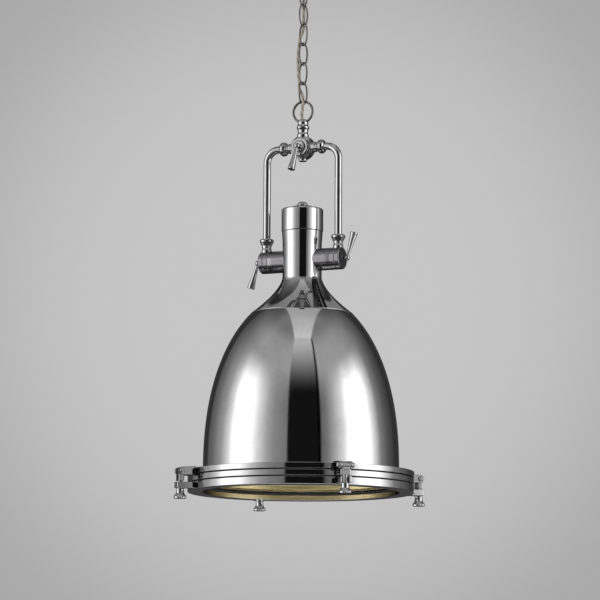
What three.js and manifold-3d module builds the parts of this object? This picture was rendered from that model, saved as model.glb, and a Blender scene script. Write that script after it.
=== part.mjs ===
// A chrome bell pendant lamp: it hangs by a chain from a ceiling cup, in a tube yoke whose two
// pivots carry the shade, and four swing bolts hold the glass in the rim.
// Millimetres, +Z up. The origin is the middle of the ceiling bracket's top face. The yoke's
// pivots lie along X, and the lever of the hub faces -Y.
import * as THREE from 'three';
import { mergeVertices } from 'three/addons/utils/BufferGeometryUtils.js';
import Module from 'manifold-3d';

const wasm = await Module();
wasm.setup();

// Clearances and angles
const gap = 0.3; // between pieces that touch
const overrun = 2; // how far a cutter runs past what it cuts
const weld = 0.001; // points closer than this are one point
const quarterTurn = Math.PI / 2;
const degree = Math.PI / 180;
const upAxis = new THREE.Vector3(0, 0, 1);

// Ceiling bracket and cup
const canopyRadius = 55;
const canopyDepth = 28;
const canopyWall = 1.4;
const canopyFlatRadius = 24;
const canopySkirt = 5;
const bracketWidth = 22;
const bracketThickness = 4;
const bracketSlotPlace = 34;
const bracketSlotLength = 12;
const bracketSlotWidth = 5;
const stemRadius = 4.5;
const stemInset = 2.5; // how deep the stem goes into the bracket
const loopCollarRadius = 9;
const loopCollarHeight = 6.5;
const loopEyeRadius = 9;
const loopWire = 2; // radius
const loopSunk = 0.6; // how far the eye is let into its collar
const gripRadius = 4.8;
const gripFlangeRadius = 6.6;
const gripFlangeHeight = 1.8;
const gripTail = 8;
const gripTailRadius = 3.6;
const gripInside = 6;

// Chain and ring
const linkCount = 6;
const linkWire = 1.5; // radius
const linkWidth = 20; // outside
const linkLength = 38.5; // outside
const chainTurn = 68; // degrees from X to the plane of the lowest link
const ringWire = 1.95; // radius
const ringRadius = 16.95; // to the middle of the wire

// Supply cord, woven through the chain, and the lead inside the yoke
const cordRadius = 2.3;
const cordPlay = 0.5;
const leadRadius = 1.7;
const leadPlay = 1.5;
const gripReach = 16; // from the axis to the cord's way through the cup
const collarCordPlace = -4.7; // along Y, where the cord goes down into the hub's collar
// Along the chain: [X, Y] in shares of a link's width, and the height in links below the first.
const cordRouteShares = [
  [-0.28, 0.66, -0.106], [-0.195, 0.46, 0.174], [-0.138, 0.325, 0.516], [-0.125, 0.292, 0.857],
  [-0.123, 0.29, 1.23], [-0.123, 0.29, 1.634], [-0.123, 0.29, 2.006], [-0.125, 0.28, 2.255],
  [-0.195, 0.079, 2.55], [-0.285, -0.121, 2.845], [-0.315, -0.135, 3.093], [-0.375, -0.16, 3.497],
  [-0.385, -0.165, 3.963], [-0.36, -0.152, 4.491], [-0.3, -0.128, 4.957], [-0.285, -0.121, 5.252],
  [-0.079, -0.195, 5.547], [0.13, -0.275, 5.826], [0.125, -0.275, 6.075], [0.055, -0.255, 6.385],
  [0.005, -0.235, 6.665],
];

// Hub
const drumRadius = 19.5;
const drumFront = 8;
const drumBack = 9.5;
const drumWall = 7.5;
const drumFaceWall = 1.5;
const hubCollarRadius = 10.2;
const hubCollarHeight = 27.3;
const collarEyeDrop = 4.9; // from the collar's top to the ring that it hangs on
const collarEyePlay = 1.5;
const hubFaceRadius = 16.6;
const hubFaceDepth = 8.4;
const plugRadius = 6.5;
const plugDrop = 3; // below the drum
const fittingRadius = 11.4;
const fittingLength = 19.5;
const fittingSocket = 6;
const terminalSize = 7;

// Yoke
const yokeDrop = 183.4; // from the hub's middle to the pivots
const tubeRadius = 5.9;
const tubeLead = 3.3; // from the hub's fitting to the bend
const tubeBend = 21;
const legCollarRadius = 11.4;
const legCollarHeight = 20.4;
const legCollarSocket = 8.5;
const barrelRadius = 17.8;
const barrelInside = 8.8; // from the leg's axis toward the neck
const barrelOutside = 8.2;
const barrelChamfer = 1.2;
const barrelGroove = 0.8;
const leadBend = 5;

// Lever handles
const ballRadius = 4.6;
const spindleRadius = 2.8;
const pivotSpindleShow = 2.9;
const pivotSpindleInset = 5;
const pivotBossRadius = 6.5;
const pivotBossHeight = 1.6;
const leverLength = 42.6;
const leverTipRadius = 6;
const leverLean = 17; // degrees
const hubLeverTurn = 6; // degrees

// Neck
const neckRadius = 31.4;
const neckWall = 3.5;
const neckTop = 46.4; // above the pivots
const flareStart = 27.6; // below the pivots
const flareHeight = 57.7;
const flarePower = 1.55; // how fast the neck widens to the seam
const holderLedge = 12; // below the pivots
const holderLedgeWidth = 2.5;
const capRadius = 33.4;
const neckTaper = 19; // how far down the neck widens toward the cap
const capHeight = 37.5;
const capShoulder = 7;
const capDome = 5.5; // above the top of the cap's side
const capWall = 3;
const capChamfer = 1.5;
const buttonRadius = 8.3;
const buttonHeight = 6;

// Shade and its rim
const rimRadius = 180;
const rimLedge = 24; // from the rim's edge in to the bell
const bellWall = 1.6;
const bellHeight = 253.7; // from the rim's top to the seam under the neck
const bellArchShare = 1.1454; // the height at which the bell's curve would close, by its own
const bellPower = 2.285; // how square the bell's shoulder is
const bandEdge = 0.8;
const flangeHeight = 9.1;
const seatHeight = 12.35;
const seatLip = 5; // from the bell's outside in
const bezelHeight = 12.15;
const bezelWidth = 23.5;
const bezelLip = 8;
const grooveWidth = 1.6;
const grooveDepth = 3.5;
const gasketThickness = 3.8;
const glassThickness = 4;
const glassSeat = 13.2; // how far the glass reaches over the bezel

// Clamps
const clampCount = 4;
const clampTurn = 45; // degrees from X
const clampStandoff = 21; // from the rim to the hinge pin
const clampPinHeight = 28.5; // above the bezel's underside
const pinRadius = 2.5;
const pinHeadRadius = 4.3;
const pinHeadLength = 3.4;
const earRadius = 6;
const earThickness = 4.7;
const earRoot = 7.5; // half the height of the lug where it meets the rim
const earSlotEnd = 6; // from the rim
const eyeRadius = 5.4;
const eyeWidth = 12;
const boltWidth = 17;
const boltDepth = 9;
const boltCorner = 2;
const boltPlay = 0.7; // under the ears
const boltStandoff = 1.7; // over the fork
const studRadius = 3.7;
const studEnd = 12; // below the bezel's underside
const studPlay = 0.7;
const forkWidth = 18;
const forkTip = 7; // past the stud's middle
const forkInset = 1.5; // above the bezel's underside
const forkThickness = 9.5;
const nutPlay = 1.1; // lets the bolt swing out without lifting the bezel
const nutClearance = 0.45;
const nutRadius = 10.2;
const nutHeight = 15.5;
const nutFloor = 2;

// Lampholder and bulb, in heights below the pivots
const holderRadius = 20;
const holderBottom = 56;
const holderEdge = 1.6;
const holderFlange = 3;
const holderPlay = 0.5;
const holderRoof = 28;
const screwRadius = 13.3;
const screwLength = 28;
const bulbRadius = 30;
const bulbLength = 80;
const bulbWall = 1.2;

// How many sides the round pieces have
const rimSides = 32;
const neckSides = 24;
const knobSides = 16;
const tubeSides = 12;
const smallSides = 8;
const wireSides = 6;

// Sizes that follow from the ones above
const cordBore = cordRadius + cordPlay;
const leadBore = leadRadius + leadPlay;
const drumCavityRadius = drumRadius - drumWall;
const drumCavityReach = drumFront - drumFaceWall;
const fittingReach = drumRadius + fittingLength;
const yokeHalfWidth = fittingReach + tubeLead + tubeBend;
const legCollarTop = barrelRadius + legCollarHeight;
const barrelStart = yokeHalfWidth - barrelInside;
const barrelEnd = yokeHalfWidth + barrelOutside;
const socketRadius = tubeRadius + gap;
const spindleBore = spindleRadius + gap;
const neckBore = neckRadius - neckWall;
const bellRadius = rimRadius - rimLedge;
const bellSeamRadius = bellRadius * Math.sqrt(1 - (1 / bellArchShare) ** bellPower);
const grooveInner = rimRadius - grooveDepth;
const bezelOpening = rimRadius - bezelWidth;
const glassRadius = bezelOpening + glassSeat;
const gasketTop = bezelLip + gap + gasketThickness;
const upperJoint = bezelHeight + seatHeight;
const rimHeight = upperJoint + flangeHeight;
const clampReach = rimRadius + clampStandoff;
const pinBore = pinRadius + gap;
const earSlot = eyeWidth + 2 * gap;
const earWidth = earSlot + 2 * earThickness;

// Heights of the main places, from the ceiling down
const loopEyeZ = -(canopyDepth + gap + loopCollarHeight + loopEyeRadius + loopWire - loopSunk);
const linkWireLength = linkLength - 2 * linkWire;
const linkStep = linkWireLength - 2 * linkWire - gap;
const firstLinkTop = loopEyeZ - loopEyeRadius + loopWire + linkWire + gap;
const linkTop = (number) => firstLinkTop - (number - 1) * linkStep;
const linkBottom = (number) => linkTop(number) - linkWireLength;
const linkTurn = (number) => (chainTurn + (linkCount - number) * 90) * degree;
const ringZ = linkBottom(linkCount) + linkWire + ringWire + gap - ringRadius;
const hubCollarTop = drumRadius + hubCollarHeight; // from the hub's middle
const hubZ = ringZ - ringRadius - (hubCollarTop - collarEyeDrop);
const pivotZ = hubZ - yokeDrop;
const gripTurn = (chainTurn + 45) * degree; // between the planes of the links
const gripX = gripReach * Math.cos(gripTurn);
const gripY = gripReach * Math.sin(gripTurn);
const gripEnd = -(canopyDepth + gap + gripFlangeHeight + gripTail);
const seamZ = -flareStart - flareHeight; // in the shade's own frame, from the pivots
const rimTopZ = seamZ - bellHeight;
const bezelZ = rimTopZ - rimHeight;

// Finishes
const finishes = {
  chrome: { color: 0xd9dadc, roughness: 0.06, metalness: 1 },
  steel: { color: 0xc3c4c6, roughness: 0.22, metalness: 1 },
  cord: { color: 0xb8b0a0, roughness: 0.55, metalness: 0 },
  rubber: { color: 0x1c1c1d, roughness: 0.8, metalness: 0 },
  glass: { color: 0xf4f6f4, roughness: 0.03, metalness: 0, transparent: true, opacity: 0.35 },
  ceramic: { color: 0xeeece4, roughness: 0.35, metalness: 0 },
  brass: { color: 0xc8a45a, roughness: 0.3, metalness: 1 },
};

// One mesh of shared points with no empty triangles and its faces pointing out.
function welded(geometry) {
  geometry.deleteAttribute('normal');
  geometry.deleteAttribute('uv');
  const merged = mergeVertices(geometry, weld);
  const places = merged.attributes.position;
  const corners = merged.index.array;
  const kept = [];
  const [a, b, c] = [new THREE.Vector3(), new THREE.Vector3(), new THREE.Vector3()];
  let volume = 0;
  for (let i = 0; i < corners.length; i += 3) {
    const [p, q, r] = [corners[i], corners[i + 1], corners[i + 2]];
    if (p === q || q === r || r === p) continue;
    kept.push(p, q, r);
    a.fromBufferAttribute(places, p);
    b.fromBufferAttribute(places, q);
    c.fromBufferAttribute(places, r);
    volume += a.dot(b.cross(c));
  }
  if (volume < 0) kept.reverse();
  merged.setIndex(kept);
  return merged;
}

function solidOf(geometry) {
  const vertProperties = new Float32Array(geometry.attributes.position.array);
  const triVerts = new Uint32Array(geometry.index.array);
  return new wasm.Manifold(new wasm.Mesh({ numProp: 3, vertProperties, triVerts }));
}

function geometryOf(solid) {
  const { vertProperties, triVerts } = solid.getMesh();
  const geometry = new THREE.BufferGeometry();
  geometry.setAttribute('position', new THREE.BufferAttribute(vertProperties, 3));
  geometry.setIndex(new THREE.BufferAttribute(triVerts, 1));
  return geometry;
}

const joined = (...pieces) => geometryOf(pieces.map(solidOf).reduce((a, b) => a.add(b)));
const common = (a, b) => geometryOf(solidOf(a).intersect(solidOf(b)));
const cut = (body, ...tools) =>
  geometryOf(tools.map(solidOf).reduce((a, b) => a.subtract(b), solidOf(body)));

// A profile of [radius, height] points turned about Z.
function turned(profile, sides) {
  const points = profile.map(([radius, height]) => new THREE.Vector2(radius, height));
  return welded(new THREE.LatheGeometry(points, sides).rotateX(quarterTurn));
}

// A ring, tube or bush: its profile comes back to its first point.
const turnedRing = (profile, sides) => turned([...profile, profile[0]], sides);

// A round bar along Z from one height to another.
const rod = (radius, from, to, sides = knobSides) =>
  turned([[0, from], [radius, from], [radius, to], [0, to]], sides);

// The same pieces laid along X or Y, with Z turned onto that axis.
const alongX = (geometry) => geometry.rotateY(quarterTurn);
const alongY = (geometry) => geometry.rotateX(-quarterTurn);

function block(from, to) {
  const [x, y, z] = to.map((high, i) => high - from[i]);
  const middle = to.map((high, i) => (high + from[i]) / 2);
  return welded(new THREE.BoxGeometry(x, y, z).translate(...middle));
}

// Shares of a radius and a length made into a profile that starts at a height.
const profileOf = (shares, radius, length, start = 0) =>
  shares.map(([r, along]) => [r * radius, start + along * length]);

// A path that is straight between its stations, so that a sweep has one ring at each of them.
class StationPath extends THREE.Curve {
  constructor(stations) {
    super();
    this.stations = stations;
  }

  getPoint(t, target = new THREE.Vector3()) {
    const place = t * (this.stations.length - 1);
    const low = Math.min(Math.floor(place), this.stations.length - 2);
    return target.lerpVectors(this.stations[low], this.stations[low + 1], place - low);
  }

  getTangent(t, target = new THREE.Vector3()) {
    const last = this.stations.length - 1;
    const at = Math.round(t * last);
    const here = this.stations[at];
    const before = here.clone().sub(this.stations[Math.max(at - 1, 0)]).normalize();
    const after = this.stations[Math.min(at + 1, last)].clone().sub(here).normalize();
    return target.addVectors(before, after).normalize();
  }

  getUtoTmapping(u) {
    return u;
  }
}

function circle(radius, sides) {
  const turns = Array.from({ length: sides }, (_, i) => (i / sides) * 2 * Math.PI);
  return turns.map((a) => new THREE.Vector2(radius * Math.cos(a), radius * Math.sin(a)));
}

// A round bar that follows stations, with closed ends.
function sweptRod(stations, radius, sides) {
  const options = {
    steps: stations.length - 1,
    extrudePath: new StationPath(stations),
    bevelEnabled: false,
  };
  return welded(new THREE.ExtrudeGeometry(new THREE.Shape(circle(radius, sides)), options));
}

// Stations round a quarter circle that leaves along one direction and arrives along another.
function quarterBend(corner, arriving, leaving, radius, steps) {
  const middle = corner.clone().addScaledVector(arriving, -radius).addScaledVector(leaving, radius);
  return Array.from({ length: steps + 1 }, (_, i) => {
    const a = (i / steps) * quarterTurn;
    return middle.clone()
      .addScaledVector(leaving, -radius * Math.cos(a))
      .addScaledVector(arriving, radius * Math.sin(a));
  });
}

// A closed loop of wire in the XZ plane: two half circles joined by straight sides.
function wireLoop(bendRadius, straight, wire, halfSteps) {
  const places = [];
  const faces = [];
  const rings = 2 * (halfSteps + 1);
  for (let i = 0; i < rings; i += 1) {
    const top = i <= halfSteps;
    const a = ((i - (top ? 0 : 1)) / halfSteps) * Math.PI;
    const middleZ = (top ? straight : -straight) / 2;
    for (let j = 0; j < wireSides; j += 1) {
      const b = (j / wireSides) * 2 * Math.PI;
      const reach = bendRadius + wire * Math.cos(b);
      places.push(reach * Math.cos(a), wire * Math.sin(b), middleZ + reach * Math.sin(a));
      const [i2, j2] = [(i + 1) % rings, (j + 1) % wireSides];
      const [p, q] = [i * wireSides + j, i2 * wireSides + j];
      const [r, s] = [i2 * wireSides + j2, i * wireSides + j2];
      faces.push(p, q, r, p, r, s);
    }
  }
  const geometry = new THREE.BufferGeometry();
  geometry.setAttribute('position', new THREE.Float32BufferAttribute(places, 3));
  geometry.setIndex(faces);
  return welded(geometry);
}

// The ceiling end

function canopyCup() {
  const bowl = (radius, depth, steps) =>
    Array.from({ length: steps + 1 }, (_, i) => {
      const a = (i / steps) * quarterTurn;
      return [
        canopyFlatRadius + (radius - canopyFlatRadius) * Math.sin(a),
        -depth + (depth - canopySkirt) * (1 - Math.cos(a)),
      ];
    });
  const stemHole = stemRadius + gap;
  const shell = turnedRing([
    [stemHole, -canopyDepth],
    ...bowl(canopyRadius, canopyDepth, 5),
    [canopyRadius, 0],
    [canopyRadius - canopyWall, 0],
    ...bowl(canopyRadius - canopyWall, canopyDepth - canopyWall, 3).reverse(),
    [stemHole, canopyWall - canopyDepth],
  ], neckSides);
  const hole = rod(
    gripRadius + gap, -canopyDepth - overrun, overrun - canopyDepth + canopyWall, smallSides);
  return cut(shell, hole.translate(gripX, gripY, 0));
}

function ceilingBracket() {
  const reach = canopyRadius - canopyWall - gap;
  const bar = common(
    block([-reach, -bracketWidth / 2, -bracketThickness], [reach, bracketWidth / 2, 0]),
    rod(reach, -canopyDepth, canopyDepth, neckSides));
  const slots = [-bracketSlotPlace, bracketSlotPlace].map((x) => block(
    [x - bracketSlotLength / 2, -bracketSlotWidth / 2, -bracketThickness - overrun],
    [x + bracketSlotLength / 2, bracketSlotWidth / 2, overrun]));
  const stemHole = rod(
    stemRadius + gap, -bracketThickness - overrun, stemInset + gap - bracketThickness);
  return cut(bar, ...slots, stemHole);
}

function canopyLoop() {
  const collarTop = -canopyDepth - gap;
  const collarShares = [[0, 0], [0.75, 0], [1, 0.2], [1, 0.75], [0.6, 1], [0, 1]];
  const collar = turned(
    profileOf(collarShares, loopCollarRadius, -loopCollarHeight, collarTop), knobSides);
  const stem = rod(stemRadius, collarTop - overrun, stemInset - bracketThickness);
  const eye = wireLoop(loopEyeRadius, 0, loopWire, 8).rotateZ(linkTurn(0)).translate(0, 0, loopEyeZ);
  return joined(collar, stem, eye);
}

function cordGrip() {
  const seat = -canopyDepth - gap;
  const flangeEnd = seat - gripFlangeHeight;
  return turnedRing([
    [cordBore, seat + gripInside], [gripRadius, seat + gripInside], [gripRadius, seat],
    [gripFlangeRadius, seat], [gripFlangeRadius, flangeEnd], [gripRadius, flangeEnd],
    [gripTailRadius, gripEnd], [cordBore, gripEnd],
  ], smallSides);
}

function supplyCord() {
  const stepCount = 42;
  const collarTop = hubZ + hubCollarTop;
  const places = [
    ...[-canopyDepth / 2, -canopyDepth, gripEnd - gripFlangeHeight].map((z) => [gripX, gripY, z]),
    ...cordRouteShares.map(([x, y, height]) =>
      [x * linkWidth, y * linkWidth, firstLinkTop - height * linkStep]),
    ...[collarTop, collarTop - hubCollarHeight / 2, hubZ + drumCavityRadius - overrun]
      .map((z) => [0, collarCordPlace, z]),
  ];
  const curve = new THREE.CatmullRomCurve3(places.map((place) => new THREE.Vector3(...place)));
  return sweptRod(curve.getSpacedPoints(stepCount), cordRadius, 8);
}

// The chain and the ring

const chainLink = () =>
  wireLoop(linkWidth / 2 - linkWire, linkLength - linkWidth, linkWire, 8);

const suspensionRing = () => wireLoop(ringRadius, 0, ringWire, 12);

// The hub, in its own frame from its middle

const drumCutter = () =>
  alongY(rod(drumRadius + gap, -drumRadius, drumRadius, neckSides));

const cordPassage = () =>
  rod(cordBore, 0, hubCollarTop + overrun, smallSides)
    .translate(0, collarCordPlace, 0);

function hubBody() {
  const edge = (drumRadius - hubFaceRadius) / 2;
  const drum = alongY(turned([
    [0, -drumFront], [drumRadius - edge, -drumFront], [drumRadius, edge - drumFront],
    [drumRadius, drumFront - edge], [drumRadius - edge, drumFront], [0, drumBack],
  ], neckSides));
  const cavity = alongY(rod(drumCavityRadius, -drumCavityReach, drumCavityReach));
  const plug = rod(plugRadius, -drumRadius - plugDrop, -drumCavityRadius, tubeSides);
  const sideBore = alongX(rod(leadBore, -drumRadius - overrun, drumRadius + overrun, smallSides));
  return cut(joined(drum, plug), joined(cavity, sideBore, cordPassage()));
}

function hubCollar() {
  const shares = [
    [0, -0.2], [0.92, -0.2], [0.9, 0.06], [0.77, 0.2], [0.83, 0.34], [1, 0.46], [1, 0.53],
    [0.8, 0.66], [0.84, 0.8], [0.74, 0.93], [0.4, 1], [0, 1],
  ];
  const body = turned(
    profileOf(shares, hubCollarRadius, hubCollarHeight, drumRadius), knobSides);
  const eye = wireLoop(ringRadius, 0, ringWire + collarEyePlay, 12)
    .translate(0, 0, hubCollarTop - collarEyeDrop + ringRadius - collarEyePlay + gap);
  return cut(body, eye, drumCutter(), cordPassage());
}

// Turned about the spindle, from the drum's face forward.
function hubFace() {
  const shares = [
    [1, 0], [1, 0.18], [0.91, 0.26], [0.89, 0.55], [0.82, 0.65], [0.67, 0.65], [0.63, 0.5],
    [0.57, 0.5], [0.54, 0.9], [0.48, 1],
  ];
  const start = drumFront + gap;
  return turnedRing([
    [spindleBore, start], ...profileOf(shares, hubFaceRadius, hubFaceDepth, start),
    [spindleBore, start + hubFaceDepth],
  ], knobSides).rotateX(quarterTurn);
}

// Along +X from inside the drum to where the tube goes in.
function sideFitting() {
  const shares = [
    [0.74, -0.2], [0.74, 0.18], [0.55, 0.26], [0.56, 0.4], [0.86, 0.48], [1, 0.62], [1, 0.8],
    [0.84, 0.94], [0.62, 1],
  ];
  const profile = profileOf(shares, fittingRadius, fittingLength, drumRadius);
  const body = turnedRing([
    [leadBore, profile[0][1]], ...profile,
    [socketRadius, fittingReach], [socketRadius, fittingReach - fittingSocket],
    [leadBore, fittingReach - fittingSocket],
  ], knobSides);
  return cut(alongX(body), drumCutter());
}

const terminalBlock = () => block(
  [-terminalSize / 2, -terminalSize / 2, -terminalSize / 2],
  [terminalSize / 2, drumCavityReach - gap, terminalSize / 2]);

// The yoke, on its +X side

const across = new THREE.Vector3(1, 0, 0);
const down = new THREE.Vector3(0, 0, -1);

function tubeStations() {
  const corner = new THREE.Vector3(yokeHalfWidth, 0, 0);
  return [
    new THREE.Vector3(fittingReach - fittingSocket + gap, 0, 0),
    ...quarterBend(corner, across, down, tubeBend, 7),
    new THREE.Vector3(yokeHalfWidth, 0, legCollarTop - legCollarSocket + gap - yokeDrop),
  ];
}

function yokeTube() {
  const stations = tubeStations();
  const outer = sweptRod(stations, tubeRadius, tubeSides);
  stations[0].x -= overrun;
  stations.at(-1).z -= overrun;
  return cut(outer, sweptRod(stations, leadBore, wireSides + 2));
}

// About the leg's own axis, in heights above the pivots.
function legCollar() {
  const shares = [
    [0.72, -0.2], [0.72, 0.12], [0.62, 0.28], [0.7, 0.47], [0.98, 0.78], [1, 0.9], [0.86, 1],
  ];
  const profile = profileOf(shares, legCollarRadius, legCollarHeight, barrelRadius);
  const body = turnedRing([
    [leadBore, profile[0][1]], ...profile,
    [socketRadius, legCollarTop], [socketRadius, legCollarTop - legCollarSocket],
    [leadBore, legCollarTop - legCollarSocket],
  ], knobSides);
  const barrel = alongX(rod(barrelRadius + gap, -barrelRadius, barrelRadius, neckSides));
  return cut(body, barrel).translate(yokeHalfWidth, 0, 0);
}

// Along +X, in the pivots' frame.
function pivotBarrel() {
  const inner = barrelRadius - barrelGroove;
  const bossEnd = barrelEnd + pivotBossHeight;
  const [grooveFrom, grooveTo] = [yokeHalfWidth - barrelGroove, yokeHalfWidth + barrelGroove];
  const body = alongX(turned([
    [0, barrelStart], [barrelRadius, barrelStart], [barrelRadius, grooveFrom],
    [inner, yokeHalfWidth], [barrelRadius, grooveTo], [barrelRadius, barrelEnd - barrelChamfer],
    [barrelRadius - barrelChamfer, barrelEnd], [pivotBossRadius, barrelEnd],
    [pivotBossRadius, bossEnd], [0, bossEnd],
  ], neckSides));
  const spindleHole = alongX(
    rod(spindleBore, barrelEnd - pivotSpindleInset - gap, bossEnd + overrun, smallSides));
  const wayDown = rod(leadBore, 0, barrelRadius + overrun, smallSides);
  const wayIn = alongX(rod(leadBore, barrelStart - overrun, yokeHalfWidth, smallSides));
  return cut(body, spindleHole, wayIn, wayDown.translate(yokeHalfWidth, 0, 0));
}

// From the hub through the +X tube and pivot to the lampholder, in the hub's frame.
function innerLead() {
  const inward = across.clone().negate();
  const top = new THREE.Vector3(yokeHalfWidth, 0, 0);
  const pivot = new THREE.Vector3(yokeHalfWidth, 0, -yokeDrop);
  const middle = new THREE.Vector3(0, 0, -yokeDrop);
  const stations = [
    new THREE.Vector3(terminalSize / 2 + gap, 0, 0),
    ...quarterBend(top, across, down, tubeBend, 7),
    ...quarterBend(pivot, down, inward, leadBend, 4),
    ...quarterBend(middle, inward, down, leadBend, 4),
    new THREE.Vector3(0, 0, overrun - holderRoof - yokeDrop),
  ];
  return sweptRod(stations, leadRadius, wireSides);
}

// A handle on a ball: the ball's middle is the origin, the spindle goes down -Z, and the handle
// points along +X and leans up to +Z.
function lever(spindle) {
  const ball = welded(new THREE.SphereGeometry(ballRadius, smallSides, 6));
  const shaft = rod(spindleRadius, -spindle - ballRadius, 0, smallSides);
  const shares = [
    [0, 0], [0.35, 0], [0.5, 0.3], [0.8, 0.72], [0.96, 0.93], [1, 0.97], [0.9, 1], [0.55, 0.975],
    [0, 0.975],
  ];
  const handle = turned(profileOf(shares, leverTipRadius, leverLength), tubeSides);
  return joined(ball, shaft, alongX(handle).rotateY(-leverLean * degree));
}

// The neck and its pivots, in the shade's frame from the pivots

function flare(steps = 4) {
  return Array.from({ length: steps + 1 }, (_, i) => {
    const share = i / steps;
    const radius = neckRadius + (bellSeamRadius - neckRadius) * share ** flarePower;
    return [radius, -flareStart - share * flareHeight];
  });
}

function neckCasting() {
  const ledge = neckBore - holderLedgeWidth;
  const shell = turnedRing([
    [capRadius - capChamfer / 2, neckTop - gap], [neckRadius, neckTop - neckTaper], ...flare(),
    ...flare(2).reverse().map(([radius, z]) => [radius - neckWall, z]),
    [ledge, -flareStart], [ledge, -holderLedge], [neckBore, -holderLedge],
    [neckBore, neckTop - gap],
  ], neckSides);
  const leadHole = rod(leadBore, -neckRadius - overrun, neckRadius + overrun, smallSides);
  return cut(shell, alongX(leadHole));
}

function neckCap() {
  const side = neckTop + capHeight;
  const shoulderSteps = 3;
  const shoulder = Array.from({ length: shoulderSteps + 1 }, (_, i) => {
    const a = (i / shoulderSteps) * quarterTurn;
    const inset = capShoulder * (1 - Math.cos(a));
    return [capRadius - inset, side - capShoulder * (1 - Math.sin(a))];
  });
  return turned([
    [0, side - capWall], [neckBore, side - capWall], [neckBore, neckTop],
    [capRadius - capChamfer / 2, neckTop], [capRadius, neckTop + capChamfer], ...shoulder,
    [buttonRadius, side + capDome], [0, side + capDome],
  ], neckSides);
}

function capButton() {
  const base = neckTop + capHeight + capDome + gap;
  const shares = [[0, 0], [1, 0], [1, 0.2], [0.88, 0.55], [0.62, 0.85], [0.3, 0.97], [0, 1]];
  return turned(profileOf(shares, buttonRadius, buttonHeight, base), knobSides);
}

// Along +X: the saddle end sits on the neck, and the flat end faces the barrel.
function trunnion() {
  const body = alongX(rod(barrelRadius, neckRadius / 2, barrelStart - gap, neckSides));
  const neck = rod(neckRadius + gap, -neckRadius, neckRadius, neckSides);
  const bore = alongX(rod(leadBore, 0, barrelStart + overrun, smallSides));
  return cut(body, neck, bore);
}

// The bell: its radius goes by the cosine of a turn, and its height by the sine to the power
// 2 / bellPower, up to the seam.
function bellCurve(steps = 9) {
  const lastTurn = Math.acos(bellSeamRadius / bellRadius);
  return Array.from({ length: steps + 1 }, (_, i) => {
    const turn = (i / steps) * lastTurn;
    const height = bellHeight * bellArchShare * Math.sin(turn) ** (2 / bellPower);
    return [bellRadius * Math.cos(turn), rimTopZ + height];
  });
}

function shadeBell() {
  const foot = bezelZ + upperJoint + gap;
  const curve = bellCurve();
  curve.at(-1)[1] -= gap;
  return turnedRing([
    [bellRadius, foot], ...curve,
    ...bellCurve(5).reverse().map(([radius, z]) => [radius - bellWall, z - gap]),
    [bellRadius - bellWall, foot],
  ], rimSides);
}

// The rim's three bands, in the shade's frame

function rimFlange() {
  const [low, high] = [bezelZ + upperJoint + gap, rimTopZ];
  const inner = bellRadius + gap;
  return turnedRing([
    [inner, low], [rimRadius, low], [rimRadius, high - bandEdge],
    [rimRadius - bandEdge, high], [inner, high],
  ], rimSides);
}

function seatRing() {
  const [low, high] = [bezelZ + bezelHeight + gap, bezelZ + upperJoint];
  const lip = bellRadius - seatLip;
  const glassTop = bezelZ + gasketTop + gap + glassThickness + gap;
  return turnedRing([
    [glassRadius + gap, low], [grooveInner, low], [grooveInner, low + grooveWidth],
    [rimRadius, low + grooveWidth], [rimRadius, high - grooveWidth],
    [grooveInner, high - grooveWidth], [grooveInner, high], [lip, high], [lip, glassTop],
    [glassRadius + gap, glassTop],
  ], rimSides);
}

function bezelFork() {
  const back = grooveInner - clampReach;
  const half = studRadius + studPlay;
  const low = forkInset - clampPinHeight;
  const high = low + forkThickness;
  const body = block([back, -forkWidth / 2, low], [forkTip, forkWidth / 2, high]);
  const slot = block([0, -half, low - overrun], [forkTip + overrun, half, high + overrun]);
  const round = rod(half, low - overrun, high + overrun, tubeSides);
  return cut(body, slot, round);
}

// A piece in a clamp's frame carried to that clamp's place on the rim.
function atClamp(geometry, number) {
  const turn = (clampTurn + (number * 360) / clampCount) * degree;
  return geometry.translate(clampReach, 0, bezelZ + clampPinHeight).rotateZ(turn);
}

function bezel() {
  const high = bezelZ + bezelHeight;
  const lip = bezelZ + bezelLip;
  const ring = turnedRing([
    [bezelOpening, bezelZ + bandEdge], [bezelOpening + bandEdge, bezelZ],
    [rimRadius - bandEdge, bezelZ], [rimRadius, bezelZ + bandEdge],
    [rimRadius, high], [glassRadius + gap, high], [glassRadius + gap, lip], [bezelOpening, lip],
  ], rimSides);
  const forks = Array.from({ length: clampCount }, (_, number) => atClamp(bezelFork(), number));
  return joined(ring, ...forks);
}

function gasket() {
  const [low, high] = [bezelZ + bezelLip + gap, bezelZ + gasketTop];
  const inner = bezelOpening + bandEdge;
  return turnedRing(
    [[inner, low], [glassRadius, low], [glassRadius, high], [inner, high]], rimSides);
}

const glassZ = bezelZ + gasketTop + gap;
const lensGlass = () => rod(glassRadius, glassZ, glassZ + glassThickness, rimSides);

// The lampholder and the bulb, in the shade's frame

function lampholder() {
  const seat = gap - holderLedge;
  const top = seat + holderFlange;
  const flangeRadius = neckBore - 2 * gap;
  const holderBore = screwRadius + holderPlay;
  return turnedRing([
    [leadBore, top], [flangeRadius, top], [flangeRadius, seat], [holderRadius, seat],
    [holderRadius, holderEdge - holderBottom], [holderRadius - holderEdge, -holderBottom],
    [holderBore, -holderBottom],
    [holderBore, -holderRoof], [leadBore, -holderRoof],
  ], knobSides);
}

function bulbScrew() {
  const top = -holderRoof - gap;
  const shares = [[0, 0], [0.4, 0], [0.62, 0.08], [0.97, 0.2], [1, 0.24], [1, 1], [0, 1]];
  return turned(profileOf(shares, screwRadius, -screwLength, top), knobSides);
}

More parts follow.
